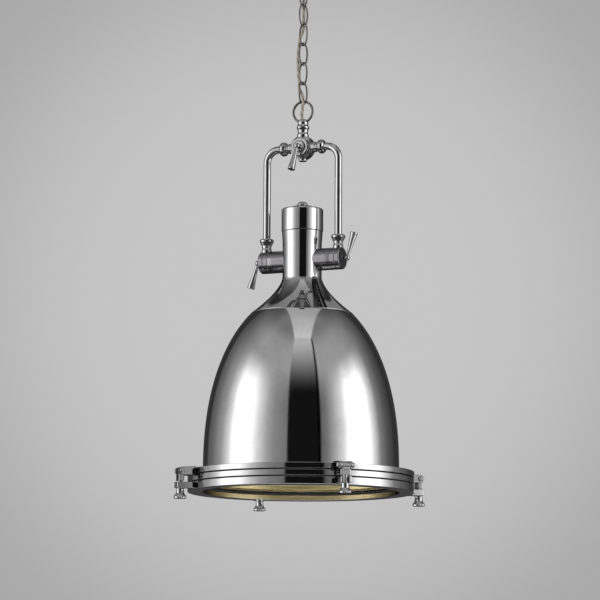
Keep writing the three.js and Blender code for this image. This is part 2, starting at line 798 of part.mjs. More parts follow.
function bulbGlass() {
  const top = -holderRoof - gap - screwLength - gap;
  const shares = [
    [0.4, 0], [0.46, 0.12], [0.84, 0.38], [1, 0.6], [0.93, 0.8], [0.6, 0.95],
  ];
  const outer = profileOf(shares, bulbRadius, -bulbLength, top);
  const inner = profileOf(shares, bulbRadius - bulbWall, bulbWall - bulbLength, top);
  return turned(
    [[0, top - bulbLength], ...outer.reverse(), ...inner, [0, top - bulbLength + bulbWall]],
    knobSides);
}

// The clamps, each in its own frame: the pin's middle is the origin, X points outward

// An outline in the XZ plane made into a plate of that width across Y.
function plate(shape, width) {
  const options = { depth: width, bevelEnabled: false, curveSegments: 5 };
  const extruded = new THREE.ExtrudeGeometry(shape, options);
  return welded(extruded.translate(0, 0, -width / 2).rotateX(quarterTurn));
}

function clampLug() {
  const back = rimRadius - clampReach - overrun;
  const outline = new THREE.Shape();
  outline.moveTo(back, -earRoot);
  outline.absarc(0, 0, earRadius, -quarterTurn, quarterTurn);
  outline.lineTo(back, earRoot);
  const slot = block([earSlotEnd - clampStandoff, -earSlot / 2, -earRoot - overrun],
    [earRadius + overrun, earSlot / 2, earRoot + overrun]);
  const hole = alongY(rod(pinBore, -earWidth, earWidth, smallSides));
  const rim = rod(rimRadius + gap, -rimRadius, rimRadius, rimSides)
    .rotateZ(-clampTurn * degree).translate(-clampReach, 0, 0);
  return cut(plate(outline, earWidth), slot, hole, rim);
}

function clampPin() {
  const side = earWidth / 2 + gap;
  const end = side + pinHeadLength;
  return alongY(turned([
    [0, -end], [pinHeadRadius, -end], [pinHeadRadius, -side], [pinRadius, -side],
    [pinRadius, side], [pinHeadRadius, side], [pinHeadRadius, end], [0, end],
  ], smallSides));
}

function clampBolt() {
  const [half, side] = [boltDepth / 2, eyeWidth / 2];
  const top = -earRadius - boltPlay;
  const bottom = forkInset + forkThickness + boltStandoff - clampPinHeight;
  const eye = alongY(rod(eyeRadius, -side, side, tubeSides));
  const shank = block([-half, -side, top - overrun], [half, side, 0]);
  const [x, y] = [half - boltCorner, boltWidth / 2 - boltCorner];
  const outline = new THREE.Shape();
  [[x, y], [-x, y], [-x, -y], [x, -y]].forEach(([cx, cy], turns) => {
    outline.absarc(cx, cy, boltCorner, turns * quarterTurn, (turns + 1) * quarterTurn);
  });
  const options = { depth: top - bottom, bevelEnabled: false, curveSegments: 2 };
  const body = welded(new THREE.ExtrudeGeometry(outline, options).translate(0, 0, bottom));
  const stud = rod(studRadius, -clampPinHeight - studEnd, bottom + overrun, tubeSides);
  const hole = alongY(rod(pinBore, -eyeWidth, eyeWidth, smallSides));
  return cut(joined(eye, shank, body, stud), hole);
}

function clampNut() {
  const top = forkInset - nutPlay - clampPinHeight;
  const bore = studRadius + nutClearance;
  const shares = [[0.61, 0], [0.6, 0.3], [0.66, 0.5], [0.92, 0.72], [1, 0.84], [0.92, 1]];
  const floor = nutHeight - nutFloor;
  return turned([
    [0, top - nutHeight], ...profileOf(shares, nutRadius, -nutHeight, top).reverse(),
    [bore, top], [bore, top - floor], [0, top - floor],
  ], tubeSides);
}

// The assembly

function named(name, geometry, finish) {
  const mesh = new THREE.Mesh(geometry, new THREE.MeshStandardMaterial(finishes[finish]));
  mesh.name = name;
  return mesh;
}

function frameAt(z, ...meshes) {
  const frame = new THREE.Group();
  frame.position.z = z;
  frame.add(...meshes);
  return frame;
}

const mirrored = (mesh, side) => {
  if (side < 0) mesh.rotation.z = Math.PI;
  return mesh;
};

// A lever whose spindle points out along one axis and whose handle points along another.
function placedLever(name, geometry, place, outward, pointing) {
  const mesh = named(name, geometry, 'chrome');
  const third = new THREE.Vector3().crossVectors(outward, pointing);
  mesh.quaternion.setFromRotationMatrix(new THREE.Matrix4().makeBasis(pointing, third, outward));
  mesh.position.copy(place);
  return mesh;
}

function ceilingEnd() {
  const grip = named('cord_grip', cordGrip(), 'rubber');
  grip.position.set(gripX, gripY, 0);
  return frameAt(
    0, named('canopy_cup', canopyCup(), 'chrome'), named('ceiling_bracket', ceilingBracket(), 'steel'),
    named('canopy_loop', canopyLoop(), 'chrome'), grip,
    named('supply_cord', supplyCord(), 'cord'));
}

function chain() {
  const links = Array.from({ length: linkCount }, (_, i) => {
    const link = named(`chain_link_${i + 1}`, chainLink(), 'chrome');
    link.position.z = (linkTop(i + 1) + linkBottom(i + 1)) / 2;
    link.rotation.z = linkTurn(i + 1);
    return link;
  });
  const ring = named('suspension_ring', suspensionRing(), 'chrome');
  ring.position.z = ringZ;
  return frameAt(0, ...links, ring);
}

const sides = [['left', -1], ['right', 1]];

function hanger() {
  const hubLever = placedLever(
    'hub_lever', lever(hubFaceDepth + gap), new THREE.Vector3(0, hubBallPlace, 0),
    new THREE.Vector3(0, -1, 0),
    down.clone().applyAxisAngle(new THREE.Vector3(0, 1, 0), hubLeverTurn * degree));
  const pieces = sides.flatMap(([side, way]) => {
    const low = (name, geometry) => {
      const mesh = mirrored(named(name, geometry, 'chrome'), way);
      mesh.position.z = -yokeDrop;
      return mesh;
    };
    const place = new THREE.Vector3(way * pivotBallPlace, 0, -yokeDrop);
    return [
      mirrored(named(`hub_fitting_${side}`, sideFitting(), 'chrome'), way),
      mirrored(named(`yoke_tube_${side}`, yokeTube(), 'chrome'), way),
      low(`leg_collar_${side}`, legCollar()), low(`pivot_barrel_${side}`, pivotBarrel()),
      placedLever(`pivot_lever_${side}`, lever(pivotSpindleShow + pivotSpindleInset), place,
        across.clone().multiplyScalar(way), upAxis.clone().multiplyScalar(way)),
    ];
  });
  return frameAt(
    hubZ, named('hub_body', hubBody(), 'chrome'), named('hub_collar', hubCollar(), 'chrome'),
    named('hub_face', hubFace(), 'chrome'), hubLever, ...pieces,
    named('hub_terminal', terminalBlock(), 'ceramic'), named('inner_lead', innerLead(), 'rubber'));
}

function shade() {
  const trunnions = sides.map(([side, way]) =>
    mirrored(named(`trunnion_${side}`, trunnion(), 'chrome'), way));
  return frameAt(
    pivotZ, named('neck_casting', neckCasting(), 'chrome'), named('neck_cap', neckCap(), 'chrome'),
    named('cap_button', capButton(), 'chrome'), ...trunnions,
    named('shade_bell', shadeBell(), 'chrome'), named('rim_flange', rimFlange(), 'chrome'),
    named('seat_ring', seatRing(), 'chrome'), named('bezel', bezel(), 'chrome'),
    named('gasket', gasket(), 'rubber'), named('lens_glass', lensGlass(), 'glass'),
    named('lampholder', lampholder(), 'ceramic'), named('bulb_screw', bulbScrew(), 'brass'),
    named('bulb_glass', bulbGlass(), 'glass'), ...clamps());
}

function clamps() {
  return Array.from({ length: clampCount }, (_, number) => [
    ['clamp_lug', clampLug()], ['clamp_pin', clampPin()],
    ['clamp_bolt', clampBolt()], ['clamp_nut', clampNut()],
  ].map(([name, geometry]) =>
    named(`${name}_${number + 1}`, atClamp(geometry, number), 'chrome'))).flat();
}

const hubBallPlace = -(drumFront + gap + hubFaceDepth + gap + ballRadius);
const pivotBallPlace = barrelEnd + pivotSpindleShow + ballRadius;

const lamp = new THREE.Group();
lamp.add(ceilingEnd(), chain(), hanger(), shade());

export default lamp;
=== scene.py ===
import math

import bmesh
import bpy
import numpy as np
from mathutils import Matrix, Vector


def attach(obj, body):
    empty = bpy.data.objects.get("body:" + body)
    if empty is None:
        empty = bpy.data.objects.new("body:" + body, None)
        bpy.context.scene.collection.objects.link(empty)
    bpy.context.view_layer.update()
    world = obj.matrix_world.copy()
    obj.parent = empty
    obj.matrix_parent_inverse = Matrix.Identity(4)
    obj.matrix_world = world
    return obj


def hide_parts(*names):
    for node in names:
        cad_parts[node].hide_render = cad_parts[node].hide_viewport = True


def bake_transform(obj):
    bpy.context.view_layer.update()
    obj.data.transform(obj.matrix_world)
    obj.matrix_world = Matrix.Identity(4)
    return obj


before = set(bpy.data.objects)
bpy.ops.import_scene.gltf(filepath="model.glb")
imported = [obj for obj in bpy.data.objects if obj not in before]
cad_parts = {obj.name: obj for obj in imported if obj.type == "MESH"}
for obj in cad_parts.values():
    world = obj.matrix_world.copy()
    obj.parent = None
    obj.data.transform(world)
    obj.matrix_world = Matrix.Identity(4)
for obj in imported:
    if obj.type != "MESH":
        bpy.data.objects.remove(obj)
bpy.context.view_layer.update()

# A chrome bell pendant lamp. Lengths are millimetres until a mesh is made, and +Z is up. The
# origin is the middle of the ceiling bracket's top face, and the yoke's pivots lie along X.
MM = 0.001
FULL_TURN = 2 * math.pi
GAP = 0.3  # between pieces that touch in the real lamp
OVERRUN = 2.0  # how far a bar reaches into its neighbour, or a cutter past a face

# The ceiling end
CUP_RADIUS, CUP_DEPTH, CUP_WALL = 55.0, 28.0, 1.4
CUP_FLAT, CUP_SKIRT = 24.0, 5.0  # the flat's radius and the straight skirt's height
BRACKET_THICKNESS, BRACKET_SLOT_PLACE = 4.0, 34.0
STEM_RADIUS, STEM_INSET = 4.5, 2.5
LOOP_COLLAR_RADIUS, LOOP_COLLAR_HEIGHT = 9.0, 6.5
EYE_RADIUS, EYE_WIRE, EYE_SUNK = 9.0, 2.0, 0.6
GRIP_RADIUS, GRIP_INSIDE, GRIP_REACH = 4.8, 6.0, 16.0
GRIP_FLANGE_RADIUS, GRIP_FLANGE_HEIGHT = 6.6, 1.8
GRIP_TAIL_RADIUS, GRIP_TAIL = 3.6, 8.0

# The chain, the ring and the cord
LINK_COUNT = 6
LINK_WIDTH, LINK_LENGTH, LINK_WIRE = 20.0, 38.5, 1.5
CHAIN_TURN = 68.0  # degrees from X to the plane of the lowest link
RING_RADIUS, RING_WIRE = 16.95, 1.95
CORD_RADIUS = 2.3
COLLAR_CORD_PLACE = -4.7  # along Y, where the cord goes down into the hub

# The hub
DRUM_RADIUS, DRUM_FRONT, DRUM_BACK, DRUM_WALL = 19.5, 8.0, 9.5, 7.5
HUB_COLLAR_RADIUS, HUB_COLLAR_HEIGHT = 10.2, 27.3
COLLAR_EYE_DROP, COLLAR_EYE_PLAY = 4.9, 1.5
HUB_FACE_RADIUS, HUB_FACE_DEPTH = 16.6, 8.4
PLUG_RADIUS, PLUG_DROP = 6.5, 3.0
FITTING_RADIUS, FITTING_LENGTH, FITTING_SOCKET = 11.4, 19.5, 6.0
TERMINAL_HALF = 3.5

# The yoke, the lead in it and the levers
YOKE_DROP = 183.4
TUBE_RADIUS, TUBE_LEAD, TUBE_BEND = 5.9, 3.3, 21.0
LEG_COLLAR_RADIUS, LEG_COLLAR_HEIGHT, LEG_COLLAR_SOCKET = 11.4, 20.4, 8.5
BARREL_RADIUS, BARREL_INSIDE, BARREL_OUTSIDE = 17.8, 8.8, 8.2
BARREL_GROOVE, BARREL_CHAMFER = 0.8, 1.2
BOSS_RADIUS, BOSS_HEIGHT = 6.5, 1.6
LEAD_RADIUS, LEAD_BORE, LEAD_BEND = 1.7, 2.0, 5.0
BALL_RADIUS, SPINDLE_RADIUS = 4.6, 2.8
SPINDLE_SHOW, SPINDLE_INSET = 2.9, 5.0
LEVER_LENGTH, LEVER_TIP_RADIUS = 42.6, 6.0
LEVER_LEAN, HUB_LEVER_TURN = 17.0, 6.0  # degrees

# The neck and its cap: the neck's top is above the pivots, and its flare starts below them
NECK_RADIUS, NECK_WALL, NECK_TOP = 31.4, 3.5, 46.4
FLARE_START, FLARE_HEIGHT, FLARE_POWER = 27.6, 57.7, 1.55
CAP_RADIUS, CAP_HEIGHT, CAP_WALL, CAP_SHOULDER, CAP_DOME = 33.4, 37.5, 3.0, 3.0, 5.5
BUTTON_RADIUS, BUTTON_HEIGHT = 8.3, 6.0

# The bell and the rim's bands
RIM_RADIUS, RIM_LEDGE = 180.0, 24.0
BELL_HEIGHT, BELL_WALL, BELL_POWER = 253.7, 1.6, 2.285
BELL_ARCH_SHARE = 1.1454  # the height where its curve would close, in bell heights
FLANGE_HEIGHT, SEAT_HEIGHT, BEZEL_HEIGHT = 9.1, 12.35, 12.15
BAND_EDGE, GROOVE_WIDTH, GROOVE_DEPTH = 0.8, 1.6, 3.5
SEAT_LIP, BEZEL_LIP, BEZEL_WIDTH = 5.0, 8.0, 23.5
GASKET_THICKNESS, GLASS_THICKNESS, GLASS_SEAT = 3.8, 4.0, 13.2

# The lampholder, whose ledge, roof and bottom are below the pivots, and the bulb
HOLDER_LEDGE, HOLDER_LEDGE_WIDTH, HOLDER_FLANGE = 12.0, 2.5, 3.0
HOLDER_RADIUS, HOLDER_ROOF, HOLDER_BOTTOM = 20.0, 28.0, 56.0
SCREW_RADIUS, SCREW_LENGTH = 13.3, 28.0
BULB_RADIUS, BULB_LENGTH, BULB_WALL = 30.0, 80.0, 1.2

# The clamps
CLAMP_TURNS = [45, 135, 225, 315]  # degrees from X
CLAMP_STANDOFF, CLAMP_PIN_HEIGHT = 21.0, 28.5
PIN_RADIUS, PIN_HEAD_RADIUS, PIN_HEAD_LENGTH = 2.5, 4.3, 3.4
EAR_RADIUS, EAR_THICKNESS, EAR_ROOT = 6.0, 4.7, 7.5
BOLT_WIDTH, BOLT_DEPTH, BOLT_EYE_RADIUS, BOLT_EYE_WIDTH = 17.0, 9.0, 5.4, 12.0
BOLT_PLAY, BOLT_STANDOFF = 0.7, 1.7  # under the ears and over the fork
STUD_RADIUS, STUD_PLAY, STUD_END = 3.7, 0.7, 12.0  # the end is below the bezel
THREAD_PITCH, THREAD_DEPTH = 1.25, 0.3
FORK_WIDTH, FORK_TIP, FORK_BACK, FORK_INSET, FORK_THICKNESS = 18.0, 7.0, -26.0, 1.5, 9.5
NUT_RADIUS, NUT_HEIGHT, NUT_PLAY, NUT_CLEARANCE, NUT_FLOOR = 10.2, 15.5, 1.1, 0.45, 2.0

# Sizes that follow from the ones above
STEM_TOP = STEM_INSET - BRACKET_THICKNESS
CUP_SEAT = -CUP_DEPTH - GAP
LINK_REACH = LINK_LENGTH - 2 * LINK_WIRE  # between the middles of its two ends
SPINDLE_BORE = SPINDLE_RADIUS + GAP
SOCKET_RADIUS = TUBE_RADIUS + GAP
FITTING_REACH = DRUM_RADIUS + FITTING_LENGTH
YOKE_HALF_WIDTH = FITTING_REACH + TUBE_LEAD + TUBE_BEND
BARREL_START = YOKE_HALF_WIDTH - BARREL_INSIDE
BARREL_END = YOKE_HALF_WIDTH + BARREL_OUTSIDE
LEG_COLLAR_TOP = BARREL_RADIUS + LEG_COLLAR_HEIGHT
NECK_BORE = NECK_RADIUS - NECK_WALL
CAP_SIDE = NECK_TOP + CAP_HEIGHT
BELL_RADIUS = RIM_RADIUS - RIM_LEDGE
SEAM_RADIUS = BELL_RADIUS * math.sqrt(1 - (1 / BELL_ARCH_SHARE) ** BELL_POWER)
GROOVE_RADIUS = RIM_RADIUS - GROOVE_DEPTH
BEZEL_OPENING = RIM_RADIUS - BEZEL_WIDTH
GLASS_RADIUS = BEZEL_OPENING + GLASS_SEAT
EAR_START = BOLT_EYE_WIDTH / 2 + GAP

# Heights of the main places, from the ceiling down
EYE_Z = CUP_SEAT - LOOP_COLLAR_HEIGHT - EYE_RADIUS - EYE_WIRE + EYE_SUNK
FIRST_LINK_TOP = EYE_Z - EYE_RADIUS + EYE_WIRE + LINK_WIRE + GAP
LINK_STEP = LINK_REACH - 2 * LINK_WIRE - GAP
LINK_MIDDLES = [FIRST_LINK_TOP - LINK_REACH / 2 - k * LINK_STEP for k in range(LINK_COUNT)]
RING_Z = LINK_MIDDLES[-1] - LINK_REACH / 2 + LINK_WIRE + RING_WIRE + GAP - RING_RADIUS
HUB_TOP = RING_Z - RING_RADIUS + COLLAR_EYE_DROP
HUB_Z = HUB_TOP - HUB_COLLAR_HEIGHT - DRUM_RADIUS
PIVOT_Z = HUB_Z - YOKE_DROP
RIM_TOP_Z = PIVOT_Z - FLARE_START - FLARE_HEIGHT - BELL_HEIGHT
BEZEL_Z = RIM_TOP_Z - FLANGE_HEIGHT - SEAT_HEIGHT - BEZEL_HEIGHT
GASKET_Z = BEZEL_Z + BEZEL_LIP + GAP
GLASS_Z = GASKET_Z + GASKET_THICKNESS + GAP
SEAT_Z = BEZEL_Z + BEZEL_HEIGHT + GAP
FLANGE_Z = BEZEL_Z + BEZEL_HEIGHT + SEAT_HEIGHT + GAP
AT_HUB = (0, 0, HUB_Z)
AT_PIVOTS = (0, 0, PIVOT_Z)
AT_CLAMP = (RIM_RADIUS + CLAMP_STANDOFF, 0, BEZEL_Z + CLAMP_PIN_HEIGHT)

# Camera, in degrees and metres: CAMERA_TURN is from -Y toward +X, and CAMERA_YAW is to the left.
CAMERA_TURN, CAMERA_PITCH, CAMERA_YAW, CAMERA_ROLL = 25.3, 7.85, 0.034, 0.33
CAMERA_REACH, CAMERA_HEIGHT = 5.281, -1.294
CAMERA_LENS, SENSOR_WIDTH = 200.0, 36.0  # millimetres


def added(name, data):
    """An object with its data, put in the scene."""
    made = bpy.data.objects.new(name, data)
    bpy.context.scene.collection.objects.link(made)
    return made


def place_camera():
    """A long lens below the rim: it stands CAMERA_TURN round from the front and looks up."""
    turn = math.radians(CAMERA_TURN)
    data = bpy.data.cameras.new("camera")
    data.lens, data.sensor_width = CAMERA_LENS, SENSOR_WIDTH
    data.clip_end = 50.0
    camera = added("camera", data)
    place = (CAMERA_REACH * math.sin(turn), -CAMERA_REACH * math.cos(turn), CAMERA_HEIGHT)
    camera.matrix_world = (
        Matrix.Translation(place) @ Matrix.Rotation(turn + math.radians(CAMERA_YAW), 4, "Z")
        @ Matrix.Rotation(math.radians(90 + CAMERA_PITCH), 4, "X")
        @ Matrix.Rotation(math.radians(CAMERA_ROLL), 4, "Z"))
    bpy.context.scene.camera = camera
    bpy.context.scene.view_settings.view_transform = "Standard"


place_camera()


# Shapes, as whole arrays

def joined(*stretches):
    """Stretches of an outline or a path, one after another."""
    return np.concatenate(stretches)


def filleted(corners, radii, steps=4, support=0.25, most=0.42, most_support=0.06):
    """An outline with round corners. With sides that turn by q at a corner P, an arc of radius r
    leaves them at A and B, r tan(q/2) from P, and is ((1-s)^2 A + 2ws(1-s) P + s^2 B) over
    ((1-s)^2 + 2ws(1-s) + s^2), where w = cos(q/2). A point more on each side keeps it flat. The
    arc and that point take at most their shares of the shorter side."""
    p = np.asarray(corners, float)
    r = np.broadcast_to(np.asarray(radii, float), len(p))
    back, on = np.roll(p, 1, 0) - p, np.roll(p, -1, 0) - p
    back_length = np.maximum(np.linalg.norm(back, axis=1), 1e-9)
    on_length = np.maximum(np.linalg.norm(on, axis=1), 1e-9)
    shorter = np.minimum(back_length, on_length)
    back, on = back / back_length[:, None], on / on_length[:, None]
    half = (math.pi - np.arccos(np.clip((back * on).sum(1), -1, 1))) / 2
    reach = np.minimum(r * np.tan(half), most * shorter)
    more = reach + np.minimum(support * (r > 0), most_support * shorter)
    a, b = p + back * reach[:, None], p + on * reach[:, None]
    s = np.linspace(0, 1, steps + 1)[None, :, None]
    middle = 2 * np.cos(half)[:, None, None] * s * (1 - s)
    arc = ((1 - s) ** 2 * a[:, None] + middle * p[:, None] + s ** 2 * b[:, None]) / (
        (1 - s) ** 2 + middle + s ** 2)
    before, after = p + back * more[:, None], p + on * more[:, None]
    whole = np.concatenate([before[:, None], arc, after[:, None]], 1).reshape(-1, 2)
    apart = np.linalg.norm(np.diff(whole, axis=0), axis=1) > 1e-6
    return whole[joined([True], apart)]


def from_shares(shares, radius, length, start=0.0):
    """Shares of a radius and a length, made into a profile that starts at a height."""
    return np.asarray(shares, float) * [radius, length] + [0, start]


def rectangle(x, y):
    """The corners of a rectangle from its half width and its half height."""
    return [[-x, -y], [x, -y], [x, y], [-x, y]]


def arc(middle, radius, start, end, steps):
    """Points of a circle between two angles, in degrees: M + r (cos a, sin a)."""
    a = np.radians(np.linspace(start, end, steps + 1))
    return np.stack([middle[0] + radius * np.cos(a), middle[1] + radius * np.sin(a)], 1)


def in_xz(points):
    """Points of (x, z) made into points of (x, 0, z)."""
    return np.insert(np.asarray(points, float), 1, 0, axis=1)


def grid(points, closed_rows, closed_columns):
    """Four-sided faces over an array of points of the shape (rows, columns, 3)."""
    rows, columns = points.shape[:2]
    i, j = np.meshgrid(np.arange(rows - (not closed_rows)),
                       np.arange(columns - (not closed_columns)), indexing="ij")
    i2, j2 = (i + 1) % rows, (j + 1) % columns
    faces = np.stack([i * columns + j, i * columns + j2, i2 * columns + j2, i2 * columns + j], -1)
    return points.reshape(-1, 3), faces.reshape(-1, 4).tolist()


def turned(profile, sides=96, ring=False, flutes=None):
    """Each (r, h) of the profile turned about Z: (r cos a, r sin a, h). Flutes are a count, a
    depth and the heights between which r is less by depth * (1 + cos(count a)) / 2."""
    r, h = np.asarray(profile, float).T[:, :, None]
    a = np.arange(sides)[None, :] / sides * FULL_TURN
    r = np.broadcast_to(r, (len(r), sides))
    if flutes:
        count, depth, low, high = flutes
        r = r - depth * (1 + np.cos(count * a)) / 2 * ((h > low) & (h < high))
    return grid(np.stack([r * np.cos(a), r * np.sin(a), np.broadcast_to(h, r.shape)], -1), ring, True)


def placed(part, axes=None, place=(0, 0, 0)):
    """A part carried to a place, with its X, Y and Z along three given axes."""
    points, faces = part
    if axes is not None:
        points = points @ np.asarray(axes, float)
    return points + np.asarray(place, float), faces


ALONG_X = [[0, 0, -1], [0, 1, 0], [1, 0, 0]]
ALONG_Y = [[1, 0, 0], [0, 0, -1], [0, 1, 0]]
FACING_FRONT = [[1, 0, 0], [0, 0, 1], [0, -1, 0]]
UPRIGHT = [[1, 0, 0], [0, 0, 1], [0, 1, 0]]


def about_z(degrees):
    """X and Y turned about Z by an angle."""
    a = math.radians(degrees)
    return [[math.cos(a), math.sin(a), 0], [-math.sin(a), math.cos(a), 0], [0, 0, 1]]


def swept(path, radius, sides=20, across=(0, 1, 0), closed=False):
    """A round bar along stations. At tangent t its circle lies on u = across x t and v = t x u:
    P + r (cos a u + sin a v). A radius for each station tapers it, and 0 closes an end."""
    path = np.asarray(path, float)
    if closed:
        t = np.roll(path, -1, 0) - np.roll(path, 1, 0)
    else:
        t = np.gradient(path, axis=0)
        t[[0, -1]] = t[[1, -2]]
    t /= np.linalg.norm(t, axis=1)[:, None]
    u = np.cross(np.broadcast_to(across, t.shape), t)
    u /= np.linalg.norm(u, axis=1)[:, None]
    v = np.cross(t, u)
    a = (np.arange(sides) / sides * FULL_TURN)[None, :, None]
    r = np.broadcast_to(np.asarray(radius, float), len(path))[:, None, None]
    return grid(path[:, None] + r * (np.cos(a) * u[:, None] + np.sin(a) * v[:, None]), closed, True)


def capped_bar(path, radius, sides, edge=0.4):
    """A round bar whose ends close through a small round edge: from each end it rises by
    e (1 - cos a) while its radius comes to r from r - e (1 - sin a)."""
    path = np.asarray(path, float)
    first, last = path[1] - path[0], path[-1] - path[-2]
    first, last = first / np.linalg.norm(first), last / np.linalg.norm(last)
    a = np.linspace(0, math.pi / 2, 4)
    rise, inset = edge * (1 - np.cos(a)), edge * (1 - np.sin(a))
    start, end = path[0] + first * rise[:, None], path[-1] - last * rise[::-1, None]
    stations = joined(path[:1], start, path[1:-1], end, path[-1:])
    middle = np.full(len(path) - 2, radius)
    radii = joined([0], radius - inset, middle, (radius - inset)[::-1], [0])
    return swept(stations, radii, sides)


def wire_ring(radius, wire, sides=24, steps=80):
    """A round ring of wire in the XZ plane: its middle line is (R cos a, 0, R sin a)."""
    a = np.arange(steps) / steps * FULL_TURN
    middle = in_xz(np.stack([radius * np.cos(a), radius * np.sin(a)], 1))
    return swept(middle, wire, sides, closed=True)


def oval_loop(half_width, half_length, wire, power=2.15, bead=0.05, bead_length=1.6, steps=72):
    """A chain link in the XZ plane: x = b |cos a|^(2/p) and z = l |sin a|^(2/p), each with its
    sign, and a bead of weld on one side, where the wire grows by bead * exp(-(z / length)^2)."""
    a = np.arange(steps) / steps * FULL_TURN
    x = half_width * np.sign(np.cos(a)) * abs(np.cos(a)) ** (2 / power)
    z = half_length * np.sign(np.sin(a)) * abs(np.sin(a)) ** (2 / power)
    swell = 1 + bead * np.exp(-(z / bead_length) ** 2) * (x > 0)
    return swept(in_xz(np.stack([x, z], 1)), wire * swell, closed=True)


def plate(outline, low, high, edge=0.4, steps=4):
    """An outline in XY between two heights, its edges rounded: it moves in by e (1 - sin b)
    while it rises by e (1 - cos b). Each flat face is one polygon, 1.5 e in from the side."""
    p = np.asarray(outline, float)
    t = np.roll(p, -1, 0) - np.roll(p, 1, 0)
    n = np.stack([t[:, 1], -t[:, 0]], 1) / np.linalg.norm(t, axis=1)[:, None]
    turn = (p[:, 0] * np.roll(p[:, 1], -1) - np.roll(p[:, 0], -1) * p[:, 1]).sum()
    n *= math.copysign(1, turn)
    b = np.linspace(0, math.pi / 2, steps + 1)
    inset, rise = edge * (1 - np.sin(b)), edge * (1 - np.cos(b))
    inset = joined([edge * 1.5], inset, inset[::-1], [edge * 1.5])
    z = joined([low], low + rise, high - rise[::-1], [high])
    rings = p[None] - n[None] * inset[:, None, None]
    levels = np.broadcast_to(z[:, None, None], (*rings.shape[:2], 1))
    points, faces = grid(np.concatenate([rings, levels], 2), False, True)
    count = len(p)
    faces.append(list(range(count))[::-1])
    faces.append(list(range((len(z) - 1) * count, len(z) * count)))
    return points, faces


def spline(points, samples=12):
    """A centripetal Catmull-Rom curve: with knots apart by the square root of the chord, each
    stretch is the cubic through P1 and P2 with the tangents of the two parabolas there."""
    p = np.asarray(points, float)
    p = joined([2 * p[0] - p[1]], p, [2 * p[-1] - p[-2]])
    gaps = np.sqrt(np.linalg.norm(np.diff(p, axis=0), axis=1))[:, None]
    p0, p1, p2, p3 = p[:-3], p[1:-2], p[2:-1], p[3:]
    d0, d1, d2 = gaps[:-2], gaps[1:-1], gaps[2:]
    t1 = ((p1 - p0) / d0 - (p2 - p0) / (d0 + d1) + (p2 - p1) / d1) * d1
    t2 = ((p2 - p1) / d1 - (p3 - p1) / (d1 + d2) + (p3 - p2) / d2) * d1
    s = np.arange(samples)[None, :, None] / samples
    p1, p2, t1, t2 = (x[:, None] for x in (p1, p2, t1, t2))
    curve = ((2 * s ** 3 - 3 * s ** 2 + 1) * p1 + (s ** 3 - 2 * s ** 2 + s) * t1
             + (3 * s ** 2 - 2 * s ** 3) * p2 + (s ** 3 - s ** 2) * t2)
    return joined(curve.reshape(-1, p.shape[1]), p[-2:-1])


def rod(radius, low, high, sides=48, edge=0.4):
    """A round bar along Z with rounded edges."""
    return turned(filleted([[0, low], [radius, low], [radius, high], [0, high]], [0, edge, edge, 0]),
                  sides)


# Materials

def node(tree, kind, inputs=(), **settings):
    """A node with its settings, and with values or links on its inputs."""
    made = tree.nodes.new(kind if kind.startswith("Node") else "ShaderNode" + kind)
    for key, value in settings.items():
        setattr(made, key, value)
    for key, value in dict(inputs).items():
        if isinstance(value, bpy.types.NodeSocket):
            tree.links.new(value, made.inputs[key])
        else:
            made.inputs[key].default_value = value
    return made


def fed(tree, inputs, **sockets):
    """Sockets linked to named inputs, with each underscore read as a space."""
    for key, socket in sockets.items():
        tree.links.new(socket, inputs[key.replace("_", " ")])


def math_node(tree, operation, *values):
    return node(tree, "Math", dict(enumerate(values)), operation=operation).outputs[0]


def times(tree, first, second):
    return math_node(tree, "MULTIPLY", first, second)


def mapped(tree, value, low, high, to_low=0.0, to_high=1.0, smooth=False):
    """A value carried from one range to another and kept inside it."""
    kind = "SMOOTHSTEP" if smooth else "LINEAR"
    return node(tree, "MapRange", {
        "Value": value, "From Min": low, "From Max": high, "To Min": to_low, "To Max": to_high,
    }, interpolation_type=kind).outputs["Result"]


def coordinates(tree, kind="Object"):
    return node(tree, "TexCoord").outputs[kind]


def noise(tree, scale, detail=2.0, roughness=0.5, stretch=None):
    """Noise over the piece's own coordinates, which may be drawn out along an axis."""
    place = coordinates(tree)
    if stretch:
        place = node(tree, "Mapping", {"Vector": place, "Scale": stretch}).outputs[0]
    return node(tree, "TexNoise", {
        "Vector": place, "Scale": scale, "Detail": detail, "Roughness": roughness}).outputs["Fac"]


def bumped(tree, height, strength, distance):
    """The normal of a face with a height on it, whose full step is a distance in metres."""
    return node(tree, "Bump", {
        "Height": height, "Strength": strength, "Distance": distance}).outputs[0]


def blended(tree, share, first, second):
    """Two colours mixed by a share."""
    first, second = (c if isinstance(c, bpy.types.NodeSocket) else (*c, 1) for c in (first, second))
    return node(tree, "Mix", {0: share, 6: first, 7: second}, data_type="RGBA").outputs[2]


def group_of(name, inputs, **outputs):
    """An empty shader group with named float inputs and typed outputs."""
    tree = bpy.data.node_groups.new(name, "ShaderNodeTree")
    for key, value in inputs.items():
        tree.interface.new_socket(key, in_out="INPUT", socket_type="NodeSocketFloat")
        tree.interface.items_tree[key].default_value = value
    for key, kind in outputs.items():
        tree.interface.new_socket(key, in_out="OUTPUT", socket_type="NodeSocket" + kind)
    return tree, node(tree, "NodeGroupInput").outputs, node(tree, "NodeGroupOutput").inputs


